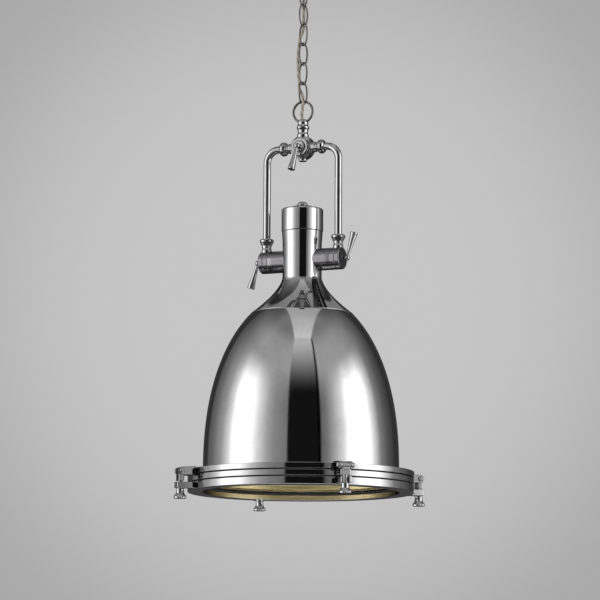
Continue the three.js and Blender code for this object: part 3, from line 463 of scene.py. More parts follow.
def polish_group():
    """A polished metal face: faint smears and hairlines in its gloss, the long low waves that buffing
    leaves, which bend what it mirrors, and a mask of the faces seen at a slant, by which painted shade
    darkens a metal's colour."""
    tree, given, made = group_of(
        "polish", {"Gloss": 0.05, "Smears": 0.05, "Hairlines": 0.03, "Waves": 0.1, "Facing": 0.0,
                   "Slant": 0.0},
        Roughness="Float", Normal="Vector", Film="Float", Edge="Float")
    smear = mapped(tree, noise(tree, 34.0, 4.0, 0.6), 0.45, 0.75, smooth=True)
    line = mapped(tree, noise(tree, 160.0, 3.0, 0.7, (1, 1, 14)), 0.58, 0.72)
    rough = math_node(tree, "MULTIPLY_ADD", smear, given["Smears"], given["Gloss"])
    fed(tree, made, Film=math_node(tree, "MAXIMUM", smear, line),
        Roughness=math_node(tree, "MULTIPLY_ADD", line, given["Hairlines"], rough),
        Normal=bumped(tree, noise(tree, 16.0, 1.0, 0.4), given["Waves"], 0.002),
        Edge=times(tree, mapped(tree, given["Facing"], 0.25, 0.8, smooth=True), given["Slant"]))
    return tree


def grain_group():
    """A moulded or cast face: fine grain with a coarser mottle."""
    tree, given, made = group_of("grain", {"Scale": 900.0, "Depth": 0.2}, Mottle="Float",
                                 Normal="Vector")
    fine = noise(tree, given["Scale"], 3.0)
    fed(tree, made, Normal=bumped(tree, fine, given["Depth"], 0.0003),
        Mottle=mapped(tree, noise(tree, 60.0, 4.0, 0.65), 0.3, 0.7))
    return tree


def haze_group():
    """Clear glass that is handled: a cloud of faint haze in its gloss."""
    tree, given, made = group_of("haze", {"Gloss": 0.01, "Haze": 0.03}, Roughness="Float")
    cloud = mapped(tree, noise(tree, 22.0, 4.0, 0.6), 0.4, 0.8)
    fed(tree, made, Roughness=math_node(tree, "MULTIPLY_ADD", cloud, given["Haze"], given["Gloss"]))
    return tree


POLISH = polish_group()
GRAIN = grain_group()
HAZE = haze_group()
# The near black that painted shade takes a metal's colour toward, on faces seen at a slant.
PAINTED_SHADE_BLACK = (0.02, 0.02, 0.022)


def new_material(name, **settings):
    """A material with one Principled shader, its plain values set on the shader itself."""
    material = bpy.data.materials.new(name)
    material.use_nodes = True
    tree = material.node_tree
    shader = tree.nodes["Principled BSDF"]
    for key, value in settings.items():
        shader.inputs[key.replace("_", " ")].default_value = value
    return material, tree, shader


def grouped(tree, group, **values):
    return node(tree, "Group", values, node_tree=group).outputs


def seen_through(tree, shader, share, tint=(1, 1, 1)):
    """A material that is clear, with a tint, by a share of 0 to 1."""
    clear = node(tree, "BsdfTransparent", {"Color": (*tint, 1)}).outputs[0]
    both = node(tree, "MixShader", {0: share, 1: shader.outputs[0], 2: clear})
    fed(tree, tree.nodes["Material Output"].inputs, Surface=both.outputs[0])


def metal(name, pale, dark, gloss, smears, hairlines, waves, slant=0.0):
    """A metal whose film of wear darkens it a little and dulls its gloss. A slant paints shade into its
    colour: the faces that turn away are darkened toward black, standing in for the dark room that they
    mirror round a small bright piece."""
    material, tree, shader = new_material(name, Metallic=1.0)
    facing = node(tree, "LayerWeight", {"Blend": 0.5}).outputs["Facing"]
    face = grouped(tree, POLISH, Gloss=gloss, Smears=smears, Hairlines=hairlines, Waves=waves,
                   Facing=facing, Slant=slant)
    colour = blended(tree, face["Film"], pale, dark)
    # Painted shade: the colour goes toward near black on the faces seen at a slant.
    fed(tree, shader.inputs, Base_Color=blended(tree, face["Edge"], colour, PAINTED_SHADE_BLACK),
        Roughness=face["Roughness"], Normal=face["Normal"])
    return material


def painted_dark_below(material, start, end, share):
    """A metal whose colour falls to a share of itself between two heights: a painted dark reflection,
    which stands in for what the flare of a neck mirrors of its own pivots and the dark above."""
    tree = material.node_tree
    colour = tree.nodes["Principled BSDF"].inputs["Base Color"]
    height = node(tree, "SeparateXYZ", {0: coordinates(tree)}).outputs["Z"]
    tone = mapped(tree, height, start * MM, end * MM, 1.0, share, smooth=True)
    toned = node(tree, "VectorMath", {0: colour.links[0].from_socket, "Scale": tone}, operation="SCALE")
    tree.links.new(toned.outputs[0], colour)
    return material


def moulded(name, pale, dark, roughness, scale, depth, **settings):
    """Rubber, plastic or porcelain: two close colours mottled, and a grained face."""
    material, tree, shader = new_material(name, **settings)
    face = grouped(tree, GRAIN, Scale=scale, Depth=depth)
    fed(tree, shader.inputs, Base_Color=blended(tree, face["Mottle"], pale, dark),
        Roughness=mapped(tree, face["Mottle"], 0, 1, roughness, roughness * 1.25),
        Normal=face["Normal"])
    return material


def cord_material():
    """A clear sheath over two twisted leads: the lay of the leads shows as pale and dark
    turns, read from the piece's own attribute."""
    material, tree, shader = new_material(
        "clear_cord", Roughness=0.22, Coat_Weight=0.6, Coat_Roughness=0.08, Subsurface_Weight=0.25,
        Subsurface_Scale=0.002)
    lay = node(tree, "Attribute", attribute_name="lay").outputs["Fac"]
    turn = mapped(tree, lay, -0.55, 0.75, smooth=True)
    colour = blended(tree, turn, (0.15, 0.125, 0.095), (0.36, 0.315, 0.25))
    cloud = mapped(tree, noise(tree, 220.0, 3.0), 0.35, 0.8, 0.0, 0.3)
    fed(tree, shader.inputs, Base_Color=blended(tree, cloud, colour, (0.5, 0.46, 0.4)),
        Normal=bumped(tree, turn, 0.35, 0.0004))
    return material


def glass_material(name, tint, gloss, haze):
    """Glass with a faint haze. Shadow and diffuse rays go straight through it, so that the
    light reaches what is behind."""
    material, tree, shader = new_material(
        name, Transmission_Weight=1.0, IOR=1.5, Metallic=0.0, Base_Color=(*tint, 1))
    fed(tree, shader.inputs, Roughness=grouped(tree, HAZE, Gloss=gloss, Haze=haze)["Roughness"])
    path = node(tree, "LightPath").outputs
    lit = math_node(tree, "MAXIMUM", path["Is Shadow Ray"], path["Is Diffuse Ray"])
    seen_through(tree, shader, lit, tint)
    return material


# The small pieces' chrome is a darker copy of the shade's chrome: painted shade, for the dark room that
# they mirror.
CHROME = metal("chrome", (0.58, 0.58, 0.585), (0.46, 0.46, 0.465), 0.035, 0.05, 0.03, 0.06, 0.95)
SHADE_CHROME = metal("chromed_aluminium", (0.72, 0.715, 0.72), (0.64, 0.635, 0.64), 0.045, 0.05,
                     0.02, 0.05, 0.6)
# The neck's chrome is darkened on its flare: a painted dark reflection.
NECK_CHROME = painted_dark_below(metal("neck_chrome", (0.72, 0.715, 0.72), (0.64, 0.635, 0.64), 0.04, 0.05,
                                 0.02, 0.05, 0.6), PIVOT_Z - 27, PIVOT_Z - 34, 0.7)
# The rim's chrome is a darker copy of the shade's chrome: painted shade.
RIM_CHROME = metal("rim_chrome", (0.6, 0.595, 0.6), (0.5, 0.495, 0.5), 0.05, 0.06, 0.03, 0.06)
# The bezel's inner lip is chrome, painted warm gold: a painted reflection of the gold lining, with
# painted shade on its faces seen at a slant.
GOLD_REFLECTION_LIP = metal("lip_painted_gold_reflection", (0.62, 0.53, 0.32), (0.48, 0.40, 0.23), 0.28, 0.1, 0.02, 0.05, 1.0)
LINING = moulded("warm_lining", (0.93, 0.76, 0.34), (0.86, 0.68, 0.28), 0.36, 700, 0.1, Metallic=0.3)
CHAIN_METAL = metal("chain_metal", (0.26, 0.25, 0.235), (0.14, 0.135, 0.125), 0.12, 0.15, 0.05, 0.1,
                    0.8)
SATIN = metal("satin_steel", (0.36, 0.35, 0.365), (0.31, 0.30, 0.315), 0.2, 0.06, 0.04, 0.02, 0.8)
ZINC = metal("zinc_steel", (0.62, 0.63, 0.64), (0.42, 0.43, 0.44), 0.32, 0.2, 0.1, 0.15)
BRASS = metal("brass", (0.80, 0.64, 0.35), (0.58, 0.44, 0.22), 0.24, 0.15, 0.08, 0.1)
RUBBER = moulded("black_rubber", (0.028, 0.028, 0.03), (0.012, 0.012, 0.013), 0.62, 1400, 0.35)
SLEEVE = moulded("lead_sleeve", (0.16, 0.16, 0.165), (0.1, 0.1, 0.1), 0.5, 1200, 0.3)
PLASTIC = moulded("white_plastic", (0.86, 0.86, 0.83), (0.8, 0.8, 0.76), 0.42, 900, 0.15)
PORCELAIN = moulded("porcelain", (0.90, 0.89, 0.85), (0.84, 0.82, 0.77), 0.16, 500, 0.08,
                    Coat_Weight=0.7, Coat_Roughness=0.05)
CLEAR_CORD = cord_material()
LENS = glass_material("lens_glass", (0.97, 0.99, 0.98), 0.01, 0.03)
PEARL = glass_material("pearl_glass", (0.98, 0.97, 0.95), 0.35, 0.1)


# Pieces

def smoothed(mesh, degrees):
    """A mesh in smooth shading, with a sharp edge where its faces turn by more than an angle."""
    mesh.shade_smooth()
    mesh.set_sharp_from_angle(angle=math.radians(degrees))
    return mesh


def solid(name, parts, paints=(), paint_rows=None, lay=None, sharp=40):
    """One mesh from closed parts, with merged points, outward faces and smooth shading."""
    points, faces = [], []
    start = 0
    for part_points, part_faces in parts:
        points.append(part_points)
        faces += [[corner + start for corner in face] for face in part_faces]
        start += len(part_points)
    mesh = bpy.data.meshes.new(name)
    mesh.from_pydata((joined(*points) * MM).tolist(), [], faces)
    for paint in paints:
        mesh.materials.append(paint)
    if paint_rows is not None:
        mesh.polygons.foreach_set("material_index", np.asarray(paint_rows, np.int32))
    if lay is not None:
        mesh.attributes.new("lay", "FLOAT", "POINT").data.foreach_set(
            "value", np.asarray(lay, np.float32).ravel())
    work = bmesh.new()
    work.from_mesh(mesh)
    bmesh.ops.remove_doubles(work, verts=work.verts, dist=2e-6)
    bmesh.ops.recalc_face_normals(work, faces=work.faces)
    work.to_mesh(mesh)
    work.free()
    return added(name, smoothed(mesh, sharp))


def piece(name, body, stands_for, paints, parts, turn=None, at=(0, 0, 0), slot=None, **details):
    """A piece of the lamp: its parts are turned and carried to their place, ride a body and stand for
    one of the frame's nodes. The slot is not used."""
    paints = paints if isinstance(paints, list) else [paints]
    made = solid(name, [placed(part, turn, at) for part in parts], paints, **details)
    if body:
        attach(made, body)
    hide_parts(stands_for)
    return made


def carved(made, cutters):
    """A piece with holes cut by closed parts."""
    tool = solid(made.name + "_cutter", cutters)
    cut = made.modifiers.new("cut", "BOOLEAN")
    cut.operation, cut.solver, cut.object = "DIFFERENCE", "EXACT", tool
    cut.use_self = True
    bpy.context.view_layer.update()
    mesh = bpy.data.meshes.new_from_object(
        made.evaluated_get(bpy.context.evaluated_depsgraph_get()))
    made.modifiers.clear()
    made.data = smoothed(mesh, 30)
    bpy.data.objects.remove(tool)
    return made


# The ceiling end

def bowl(radius, depth, steps=28):
    """The cup's quarter of an ellipse, from its flat to its skirt: (f + (R - f) sin a,
    -d + (d - s) (1 - cos a))."""
    a = np.linspace(0, math.pi / 2, steps + 1)
    return np.stack([CUP_FLAT + (radius - CUP_FLAT) * np.sin(a),
                     -depth + (depth - CUP_SKIRT) * (1 - np.cos(a))], 1)


def ceiling_end():
    stem_hole = STEM_RADIUS + GAP
    inner = CUP_RADIUS - CUP_WALL
    lip = np.array([[0, -0.4], [-0.1, -0.1], [-0.4, 0]])
    cup = joined([[stem_hole, -CUP_DEPTH]], bowl(CUP_RADIUS, CUP_DEPTH), lip + [CUP_RADIUS, 0],
                 lip[::-1] * [-1, 1] + [inner, 0], bowl(inner, CUP_DEPTH - CUP_WALL)[::-1],
                 [[stem_hole, CUP_WALL - CUP_DEPTH]])
    piece("ceiling_cup", "ceiling", "canopy_cup", CHROME, [turned(cup, 128, ring=True)])
    round_end = arc((0, 0), inner - GAP, -11.9, 11.9, 16)
    bar = piece("ceiling_bar", "ceiling", "ceiling_bracket", ZINC,
                [plate(joined(round_end, -round_end), -BRACKET_THICKNESS, 0, 0.5)])
    slot = filleted(rectangle(6, 2.5), 2.45, 6)
    past = -BRACKET_THICKNESS - OVERRUN
    carved(bar, [*(plate(slot + [x, 0], past, OVERRUN, 0.1, 1)
                   for x in (-BRACKET_SLOT_PLACE, BRACKET_SLOT_PLACE)),
                 rod(stem_hole, past, STEM_TOP + GAP, 32, 0.1)])
    collar = filleted(from_shares([[0, 0], [0.75, 0], [1, 0.2], [1, 0.75], [0.6, 1], [0, 1]],
                                  LOOP_COLLAR_RADIUS, -LOOP_COLLAR_HEIGHT, CUP_SEAT),
                      [0, 0.4, 1.2, 1.6, 0.8, 0])
    stem = rod(STEM_RADIUS, -CUP_DEPTH - OVERRUN, STEM_TOP, 32)
    eye = placed(wire_ring(EYE_RADIUS, EYE_WIRE, 24, 56), about_z(CHAIN_TURN), (0, 0, EYE_Z))
    piece("ceiling_loop", "ceiling", "canopy_loop", CHROME, [turned(collar, 64), stem, eye])


GRIP_TURN = math.radians(CHAIN_TURN + 45)  # between the planes of the links
GRIP_PLACE = (GRIP_REACH * math.cos(GRIP_TURN), GRIP_REACH * math.sin(GRIP_TURN))
GRIP_END = CUP_SEAT - GRIP_FLANGE_HEIGHT - GRIP_TAIL


def cord_grip():
    """A ribbed rubber grip where the cord comes through the cup."""
    bore, inside = CORD_RADIUS + 0.05, CUP_SEAT + GRIP_INSIDE
    under = CUP_SEAT - GRIP_FLANGE_HEIGHT
    ribs = [[GRIP_RADIUS - 0.3 * i - 0.5 * (i % 2), under - 1.9 * i] for i in range(1, 4)]
    profile = filleted([
        [bore, inside], [GRIP_RADIUS, inside], [GRIP_RADIUS, CUP_SEAT],
        [GRIP_FLANGE_RADIUS, CUP_SEAT], [GRIP_FLANGE_RADIUS, under], [GRIP_RADIUS, under], *ribs,
        [GRIP_TAIL_RADIUS, GRIP_END], [bore, GRIP_END]], 0.35, 3)
    piece("cord_entry", "ceiling", "cord_grip", RUBBER, [turned(profile, 40, ring=True)],
          at=(*GRIP_PLACE, 0))


# The cord's way along the chain: [X, Y] in link widths, and the height in links below the first.
CORD_WAY = np.array([
    [-0.28, 0.66, -0.106], [-0.195, 0.46, 0.174], [-0.138, 0.325, 0.516], [-0.125, 0.292, 0.857],
    [-0.123, 0.29, 1.23], [-0.123, 0.29, 1.634], [-0.123, 0.29, 2.006], [-0.125, 0.28, 2.255],
    [-0.195, 0.079, 2.55], [-0.285, -0.121, 2.845], [-0.315, -0.135, 3.093], [-0.375, -0.16, 3.497],
    [-0.385, -0.165, 3.963], [-0.36, -0.152, 4.491], [-0.3, -0.128, 4.957], [-0.285, -0.121, 5.252],
    [-0.079, -0.195, 5.547], [0.13, -0.275, 5.826], [0.125, -0.275, 6.075], [0.055, -0.255, 6.385],
    [0.005, -0.235, 6.665]])
CORD_STATION = 0.75  # between its rings
LAY_LENGTH = 13.0  # in which the leads in it make one turn


def cord_stretches(sides=16):
    """The cord in one stretch for each joint that it crosses. A stretch runs between the middles of the
    two bodies there. The lay of its leads is sin(2 pi s / LAY_LENGTH + 2 a) at the length s and round
    the cord at a."""
    x, y, down = CORD_WAY.T
    way = np.stack([x * LINK_WIDTH, y * LINK_WIDTH, FIRST_LINK_TOP - down * LINK_STEP], 1)
    top = [[*GRIP_PLACE, z] for z in (-CUP_DEPTH / 2, -CUP_DEPTH, GRIP_END - GRIP_FLANGE_HEIGHT)]
    inside = HUB_Z + DRUM_RADIUS - DRUM_WALL - OVERRUN
    foot = [[0, COLLAR_CORD_PLACE, z] for z in (HUB_TOP, HUB_TOP - HUB_COLLAR_HEIGHT / 2, inside)]
    path = spline(joined(top, way, foot))
    length = joined([0], np.cumsum(np.linalg.norm(np.diff(path, axis=0), axis=1)))
    even = np.linspace(0, length[-1], int(length[-1] / CORD_STATION))
    path = np.stack([np.interp(even, length, path[:, k]) for k in range(3)], 1)
    rings = swept(path, CORD_RADIUS, sides, (1, 0, 0))[0].reshape(-1, sides, 3)
    round_it = np.arange(sides) / sides * FULL_TURN
    bodies = ["ceiling", *(f"link_{k}" for k in range(1, LINK_COUNT + 1)), "ring", "hanger"]
    cuts = [0, *(int(np.argmin(abs(path[:, 2] - z))) for z in [*LINK_MIDDLES, RING_Z]),
            len(path) - 1]
    for k, (upper, lower) in enumerate(zip(bodies, bodies[1:])):
        first, last = cuts[k:k + 2]
        here, ring, along = (values[first:last + 1] for values in (path, rings, even))
        ends = (np.broadcast_to(end, (1, sides, 3)) for end in here[[0, -1]])
        lay = np.sin(along[:, None] / LAY_LENGTH * FULL_TURN + 2 * round_it)
        made = piece(f"cord_{upper}_to_{lower}", None, "supply_cord", CLEAR_CORD,
                     [grid(joined(next(ends), ring, next(ends)), False, True)],
                     lay=joined(lay[:1], lay, lay[-1:]), sharp=50)
        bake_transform(made)


def chain():
    link = oval_loop(LINK_WIDTH / 2 - LINK_WIRE, LINK_LENGTH / 2 - LINK_WIRE, LINK_WIRE)
    for k, middle in enumerate(LINK_MIDDLES, 1):
        piece(f"link_of_chain_{k}", f"link_{k}", f"chain_link_{k}", CHAIN_METAL, [link],
              about_z(CHAIN_TURN + (LINK_COUNT - k) * 90), (0, 0, middle), "chrome")
    piece("hanging_ring", "ring", "suspension_ring", CHAIN_METAL, [wire_ring(RING_RADIUS, RING_WIRE)],
          None, (0, 0, RING_Z), "chrome")


# The hub and the yoke

SIDES = [("left", 180), ("right", 0)]


def socketed(profile, top, depth):
    """A profile with the lead's bore up its middle and the tube's socket in its far end."""
    foot = top - depth
    return joined(profile, [[SOCKET_RADIUS, top], [SOCKET_RADIUS, foot], [LEAD_BORE, foot],
                            [LEAD_BORE, profile[0][1]]])


def hub():
    edge = DRUM_RADIUS - 1.5
    drum = filleted([[0, -DRUM_FRONT], [edge - 1, -DRUM_FRONT], [edge, 0.8 - DRUM_FRONT],
                     [DRUM_RADIUS, 1.4 - DRUM_FRONT], [DRUM_RADIUS, DRUM_FRONT - 1.4],
                     [edge, DRUM_FRONT], [10, DRUM_BACK - 0.4], [0, DRUM_BACK]],
                    [0, 0.5, 0.6, 0.9, 1.2, 1.5, 6, 0], 5)
    foot = -DRUM_RADIUS - PLUG_DROP
    plug = filleted([[0, foot], [PLUG_RADIUS - 1.3, foot], [PLUG_RADIUS, foot + 1.2],
                     [PLUG_RADIUS, 2.5 - DRUM_RADIUS], [0, 2.5 - DRUM_RADIUS]], [0, 0.8, 0.5, 0, 0])
    piece("hub_drum", "hanger", "hub_body", CHROME,
          [placed(turned(drum), ALONG_Y), turned(plug, 48)], at=AT_HUB)
    shares = [[0, -0.2], [0.92, -0.2], [0.9, 0.06], [0.77, 0.2], [0.83, 0.34], [1, 0.46], [1, 0.53],
              [0.8, 0.66], [0.84, 0.8], [0.74, 0.93], [0.4, 1], [0, 1]]
    profile = filleted(from_shares(shares, HUB_COLLAR_RADIUS, HUB_COLLAR_HEIGHT, DRUM_RADIUS),
                       [0, 0, 1.2, 1.6, 1.2, 0.9, 0.9, 1.2, 1.4, 1.2, 1.0, 0], 5)
    collar = piece("hub_neck", "hanger", "hub_collar", CHROME, [turned(profile, 72)], at=AT_HUB)
    cord_hole = rod(CORD_RADIUS + GAP, HUB_Z + 24, HUB_Z + 60, 24, 0.1)
    carved(collar, [placed(wire_ring(RING_RADIUS, RING_WIRE + COLLAR_EYE_PLAY), None,
                           (0, 0, RING_Z - COLLAR_EYE_PLAY + GAP)),
                    placed(cord_hole, None, (0, COLLAR_CORD_PLACE, 0))])
    shares = [[1, 0], [1, 0.18], [0.91, 0.26], [0.89, 0.55], [0.82, 0.65], [0.67, 0.65],
              [0.63, 0.5], [0.57, 0.5], [0.54, 0.9], [0.48, 1]]
    start = DRUM_FRONT + GAP
    face = joined([[SPINDLE_BORE, start]],
                  from_shares(shares, HUB_FACE_RADIUS, HUB_FACE_DEPTH, start),
                  [[SPINDLE_BORE, start + HUB_FACE_DEPTH]])
    piece("hub_front", "hanger", "hub_face", CHROME, [turned(filleted(face, 0.5), ring=True)],
          FACING_FRONT, AT_HUB)
    shares = [[0.74, -0.2], [0.74, 0.18], [0.55, 0.26], [0.56, 0.4], [0.86, 0.48], [1, 0.62],
              [1, 0.8], [0.84, 0.94], [0.62, 1]]
    profile = from_shares(shares, FITTING_RADIUS, FITTING_LENGTH, DRUM_RADIUS)
    fitting = filleted(socketed(profile, FITTING_REACH, FITTING_SOCKET),
                       [0, 0.4, 1.0, 1.2, 0.8, 1.4, 1.4, 0.8, 0.5, 0.2, 0, 0, 0], 5)
    branch = placed(turned(fitting, 72, ring=True), ALONG_X)
    for side, way in SIDES:
        piece(f"hub_branch_{side}", "hanger", f"hub_fitting_{side}", CHROME, [branch], about_z(way),
              AT_HUB)
    block = plate(filleted(rectangle(TERMINAL_HALF, TERMINAL_HALF), 0.6), -TERMINAL_HALF, 6.2)
    wells = [placed(rod(1.1, -3.7, -3.0, 20, 0.2), None, (x, 1.4, 0)) for x in (-1.6, 1.6)]
    piece("wire_block", "hanger", "hub_terminal", PLASTIC, [block, *wells], ALONG_Y, AT_HUB)


def yoke():
    start, end = FITTING_REACH - FITTING_SOCKET + GAP, LEG_COLLAR_TOP - LEG_COLLAR_SOCKET + GAP
    end -= YOKE_DROP
    bend = arc((YOKE_HALF_WIDTH - TUBE_BEND, -TUBE_BEND), TUBE_BEND, 90, 0, 28)
    leg = [[YOKE_HALF_WIDTH, z] for z in (-80, end + 1.4, end)]
    tube = capped_bar(in_xz(joined([[start, 0], [start + 2.7, 0]], bend, leg)), TUBE_RADIUS, 32)
    shares = [[0.72, -0.2], [0.72, 0.12], [0.62, 0.28], [0.7, 0.47], [0.98, 0.78], [1, 0.9], [0.86, 1]]
    profile = from_shares(shares, LEG_COLLAR_RADIUS, LEG_COLLAR_HEIGHT, BARREL_RADIUS)
    collar = filleted(socketed(profile, LEG_COLLAR_TOP, LEG_COLLAR_SOCKET),
                      [0, 1.0, 1.6, 2.0, 1.2, 0.9, 0.8, 0.2, 0, 0, 0], 5)
    foot = placed(turned(collar, 72, ring=True), None, (YOKE_HALF_WIDTH, 0, 0))
    r, boss = BARREL_RADIUS, BARREL_END + BOSS_HEIGHT
    barrel = filleted([
        [0, BARREL_START], [r, BARREL_START], [r, YOKE_HALF_WIDTH - BARREL_GROOVE],
        [r - BARREL_GROOVE, YOKE_HALF_WIDTH], [r, YOKE_HALF_WIDTH + BARREL_GROOVE],
        [r, BARREL_END - BARREL_CHAMFER], [r - BARREL_CHAMFER, BARREL_END],
        [BOSS_RADIUS, BARREL_END], [BOSS_RADIUS, boss], [0, boss]],
        [0, 0.5, 0.15, 0.15, 0.15, 0.5, 0.5, 0.3, 0.4, 0])
    drum = placed(turned(barrel), ALONG_X)
    for side, way in SIDES:
        turn = about_z(way)
        piece(f"bent_tube_{side}", "hanger", f"yoke_tube_{side}", CHROME, [tube], turn, AT_HUB)
        piece(f"leg_foot_{side}", "hanger", f"leg_collar_{side}", CHROME, [foot], turn, AT_PIVOTS)
        piece(f"pivot_drum_{side}", "hanger", f"pivot_barrel_{side}", SATIN, [drum], turn, AT_PIVOTS,
              "chrome")


def inner_lead():
    """The sleeved lead inside the yoke, parted on the pivots' axis where it twists."""
    parting = BARREL_START - GAP
    bend, corner = TUBE_BEND, YOKE_HALF_WIDTH - LEAD_BEND
    down = joined([[TERMINAL_HALF + GAP, YOKE_DROP], [20, YOKE_DROP]],
                  arc((YOKE_HALF_WIDTH - bend, YOKE_DROP - bend), bend, 90, 0, 20),
                  [[YOKE_HALF_WIDTH, 60]], arc((corner, LEAD_BEND), LEAD_BEND, 0, -90, 8),
                  [[parting + GAP / 2, 0]])
    across = joined([[parting, 0], [30, 0]], arc((LEAD_BEND, -LEAD_BEND), LEAD_BEND, 90, 180, 8),
                    [[0, OVERRUN - HOLDER_ROOF]])
    for name, body, path in (("lead_in_yoke", "hanger", down), ("lead_in_neck", "shade", across)):
        piece(name, body, "inner_lead", SLEEVE, [capped_bar(in_xz(path), LEAD_RADIUS, 16, 0.1)],
              at=AT_PIVOTS)


def lever(spindle):
    """A handle on a ball: the ball is the origin, its spindle goes down -Z, and the handle
    points along +X and leans up."""
    ball = turned(arc((0, 0), BALL_RADIUS, -90, 90, 24), 40)
    shaft = rod(SPINDLE_RADIUS, -spindle - BALL_RADIUS, 0, 32)
    shares = [[0, 0], [0.35, 0], [0.36, 0.1], [0.5, 0.3], [0.8, 0.72], [0.94, 0.9], [1, 0.955],
              [0.96, 0.99], [0.62, 1], [0.52, 0.985], [0, 0.985]]
    profile = filleted(from_shares(shares, LEVER_TIP_RADIUS, LEVER_LENGTH),
                       [0, 0, 3, 12, 12, 4, 0.9, 0.8, 0.4, 0.4, 0], 5)
    lean = math.radians(LEVER_LEAN)
    tilt = [[math.cos(lean), 0, math.sin(lean)], [0, 1, 0], [-math.sin(lean), 0, math.cos(lean)]]
    return [ball, shaft, placed(placed(turned(profile, 48), ALONG_X), tilt)]


def levers():
    """The three levers: each row has a body, a node, the spindle's length, the ball's place,
    and where the spindle and the handle point."""
    turn = math.radians(HUB_LEVER_TURN)
    low = (-math.sin(turn), 0, -math.cos(turn))
    front = DRUM_FRONT + GAP + HUB_FACE_DEPTH + GAP + BALL_RADIUS
    reach, spindle = BARREL_END + SPINDLE_SHOW + BALL_RADIUS, SPINDLE_SHOW + SPINDLE_INSET
    rows = [("hub_handle", "hub_lever", HUB_FACE_DEPTH + GAP, (0, -front, HUB_Z), (0, -1, 0), low),
            ("left_handle", "pivot_lever_left", spindle, (-reach, 0, PIVOT_Z), (-1, 0, 0), (0, 0, -1)),
            ("right_handle", "pivot_lever_right", spindle, (reach, 0, PIVOT_Z), (1, 0, 0), (0, 0, 1))]
    for body, node_name, length, place, outward, pointing in rows:
        axes = [pointing, np.cross(outward, pointing), outward]
        piece(f"lever_{body}", body, node_name, CHROME, lever(length), axes, place)


# The neck and the shade

def flare(steps=40):
    """The neck's radius grows to the seam by the height's share to the power FLARE_POWER."""
    s = np.linspace(0, 1, steps + 1)
    return np.stack([NECK_RADIUS + (SEAM_RADIUS - NECK_RADIUS) * s ** FLARE_POWER,
                     -FLARE_START - s * FLARE_HEIGHT], 1)


def neck():
    top, ledge = NECK_TOP - GAP, NECK_BORE - HOLDER_LEDGE_WIDTH
    outer = joined([[32.4, top], [32.62, top - 0.1], [32.65, top - 0.4], [31.6, 30]],
                   spline([[31.6, 30], [31.42, 26], [NECK_RADIUS, 22], [NECK_RADIUS, -10]], 5),
                   flare(), flare()[-1:] - [0.1, 0.45])
    inner = joined(flare()[::-1] - [NECK_WALL, 0],
                   [[ledge, 0.2 - FLARE_START], [ledge, -HOLDER_LEDGE - 0.2],
                    [ledge + 0.2, -HOLDER_LEDGE], [NECK_BORE, -HOLDER_LEDGE], [NECK_BORE, top]])
    piece("neck_tube", "shade", "neck_casting", NECK_CHROME,
          [turned(joined(outer, inner), 128, ring=True)], at=AT_PIVOTS, slot="chromed_aluminium")
    a = np.linspace(0, math.pi / 2, 12)
    shoulder = np.stack([CAP_RADIUS - CAP_SHOULDER * (1 - np.cos(a)),
                         CAP_SIDE - CAP_SHOULDER * (1 - np.sin(a))], 1)
    crown = spline([shoulder[-1], [22.5, CAP_SIDE + 1.5], [15, CAP_SIDE + 3.9],
                    [BUTTON_RADIUS, CAP_SIDE + CAP_DOME - 0.1], [0, CAP_SIDE + CAP_DOME]], 6)
    roof = CAP_SIDE - CAP_WALL
    cap = joined([[0, roof], [NECK_BORE - 0.6, roof], [NECK_BORE, roof - 0.6], [NECK_BORE, NECK_TOP],
                  [CAP_RADIUS - 1, NECK_TOP], [CAP_RADIUS - 0.7, NECK_TOP + 0.1],
                  [CAP_RADIUS - 0.1, NECK_TOP + 1.1], [CAP_RADIUS, NECK_TOP + 1.5]],
                 shoulder, crown[1:])
    piece("neck_top", "shade", "neck_cap", SHADE_CHROME, [turned(cap, 128)], at=AT_PIVOTS)
    shares = [[0, 0], [1, 0], [1, 0.2], [0.9, 0.55], [0.62, 0.86], [0.3, 0.98], [0, 1]]
    button = filleted(from_shares(shares, BUTTON_RADIUS, BUTTON_HEIGHT, CAP_SIDE + CAP_DOME + GAP),
                      [0, 0.3, 0.6, 3, 3, 3, 0], 5)
    piece("top_knob", "shade", "cap_button", CHROME, [turned(button, 64)], at=AT_PIVOTS)
    for side, way in SIDES:
        piece(f"pivot_arm_{side}", "shade", f"trunnion_{side}", SATIN, [pivot_arm()], about_z(way),
              AT_PIVOTS, "chromed_aluminium")


def pivot_arm(sides=96, sunk=1.2, edge=0.5):
    """A round arm that starts on the neck: at the angle a round X its first ring is at
    x = sqrt(R^2 - (r sin a)^2), inside the neck's wall, and it ends flat before the barrel."""
    a = np.arange(sides) / sides * FULL_TURN
    y, z = BARREL_RADIUS * np.sin(a), BARREL_RADIUS * np.cos(a)
    root = np.sqrt((NECK_RADIUS - sunk) ** 2 - y ** 2)
    end = BARREL_START - GAP
    rounding = [(end - edge * (1 - math.sin(b)), 1 - 0.028 * (1 - math.cos(b)))
                for b in np.linspace(0, math.pi / 2, 5)]
    rows = [(27.0, 0.0), (root, 0.96), (root, 1.0), (root * 0.3 + end * 0.7, 1.0), *rounding,
            (end, 0.94), (end, 0.0)]
    return grid(np.stack([np.stack([np.broadcast_to(x, sides), y * share, z * share], 1)
                          for x, share in rows]), False, True)


def bell_curve(steps=90):
    """The bell's radius goes by the cosine of a turn, and its height by the sine to the power
    2 / BELL_POWER, up to the seam."""
    turn = np.linspace(0, 1, steps + 1) ** 0.8 * math.acos(SEAM_RADIUS / BELL_RADIUS)
    height = BELL_HEIGHT * BELL_ARCH_SHARE * np.sin(turn) ** (2 / BELL_POWER)
    return np.stack([BELL_RADIUS * np.cos(turn), RIM_TOP_Z + height], 1)


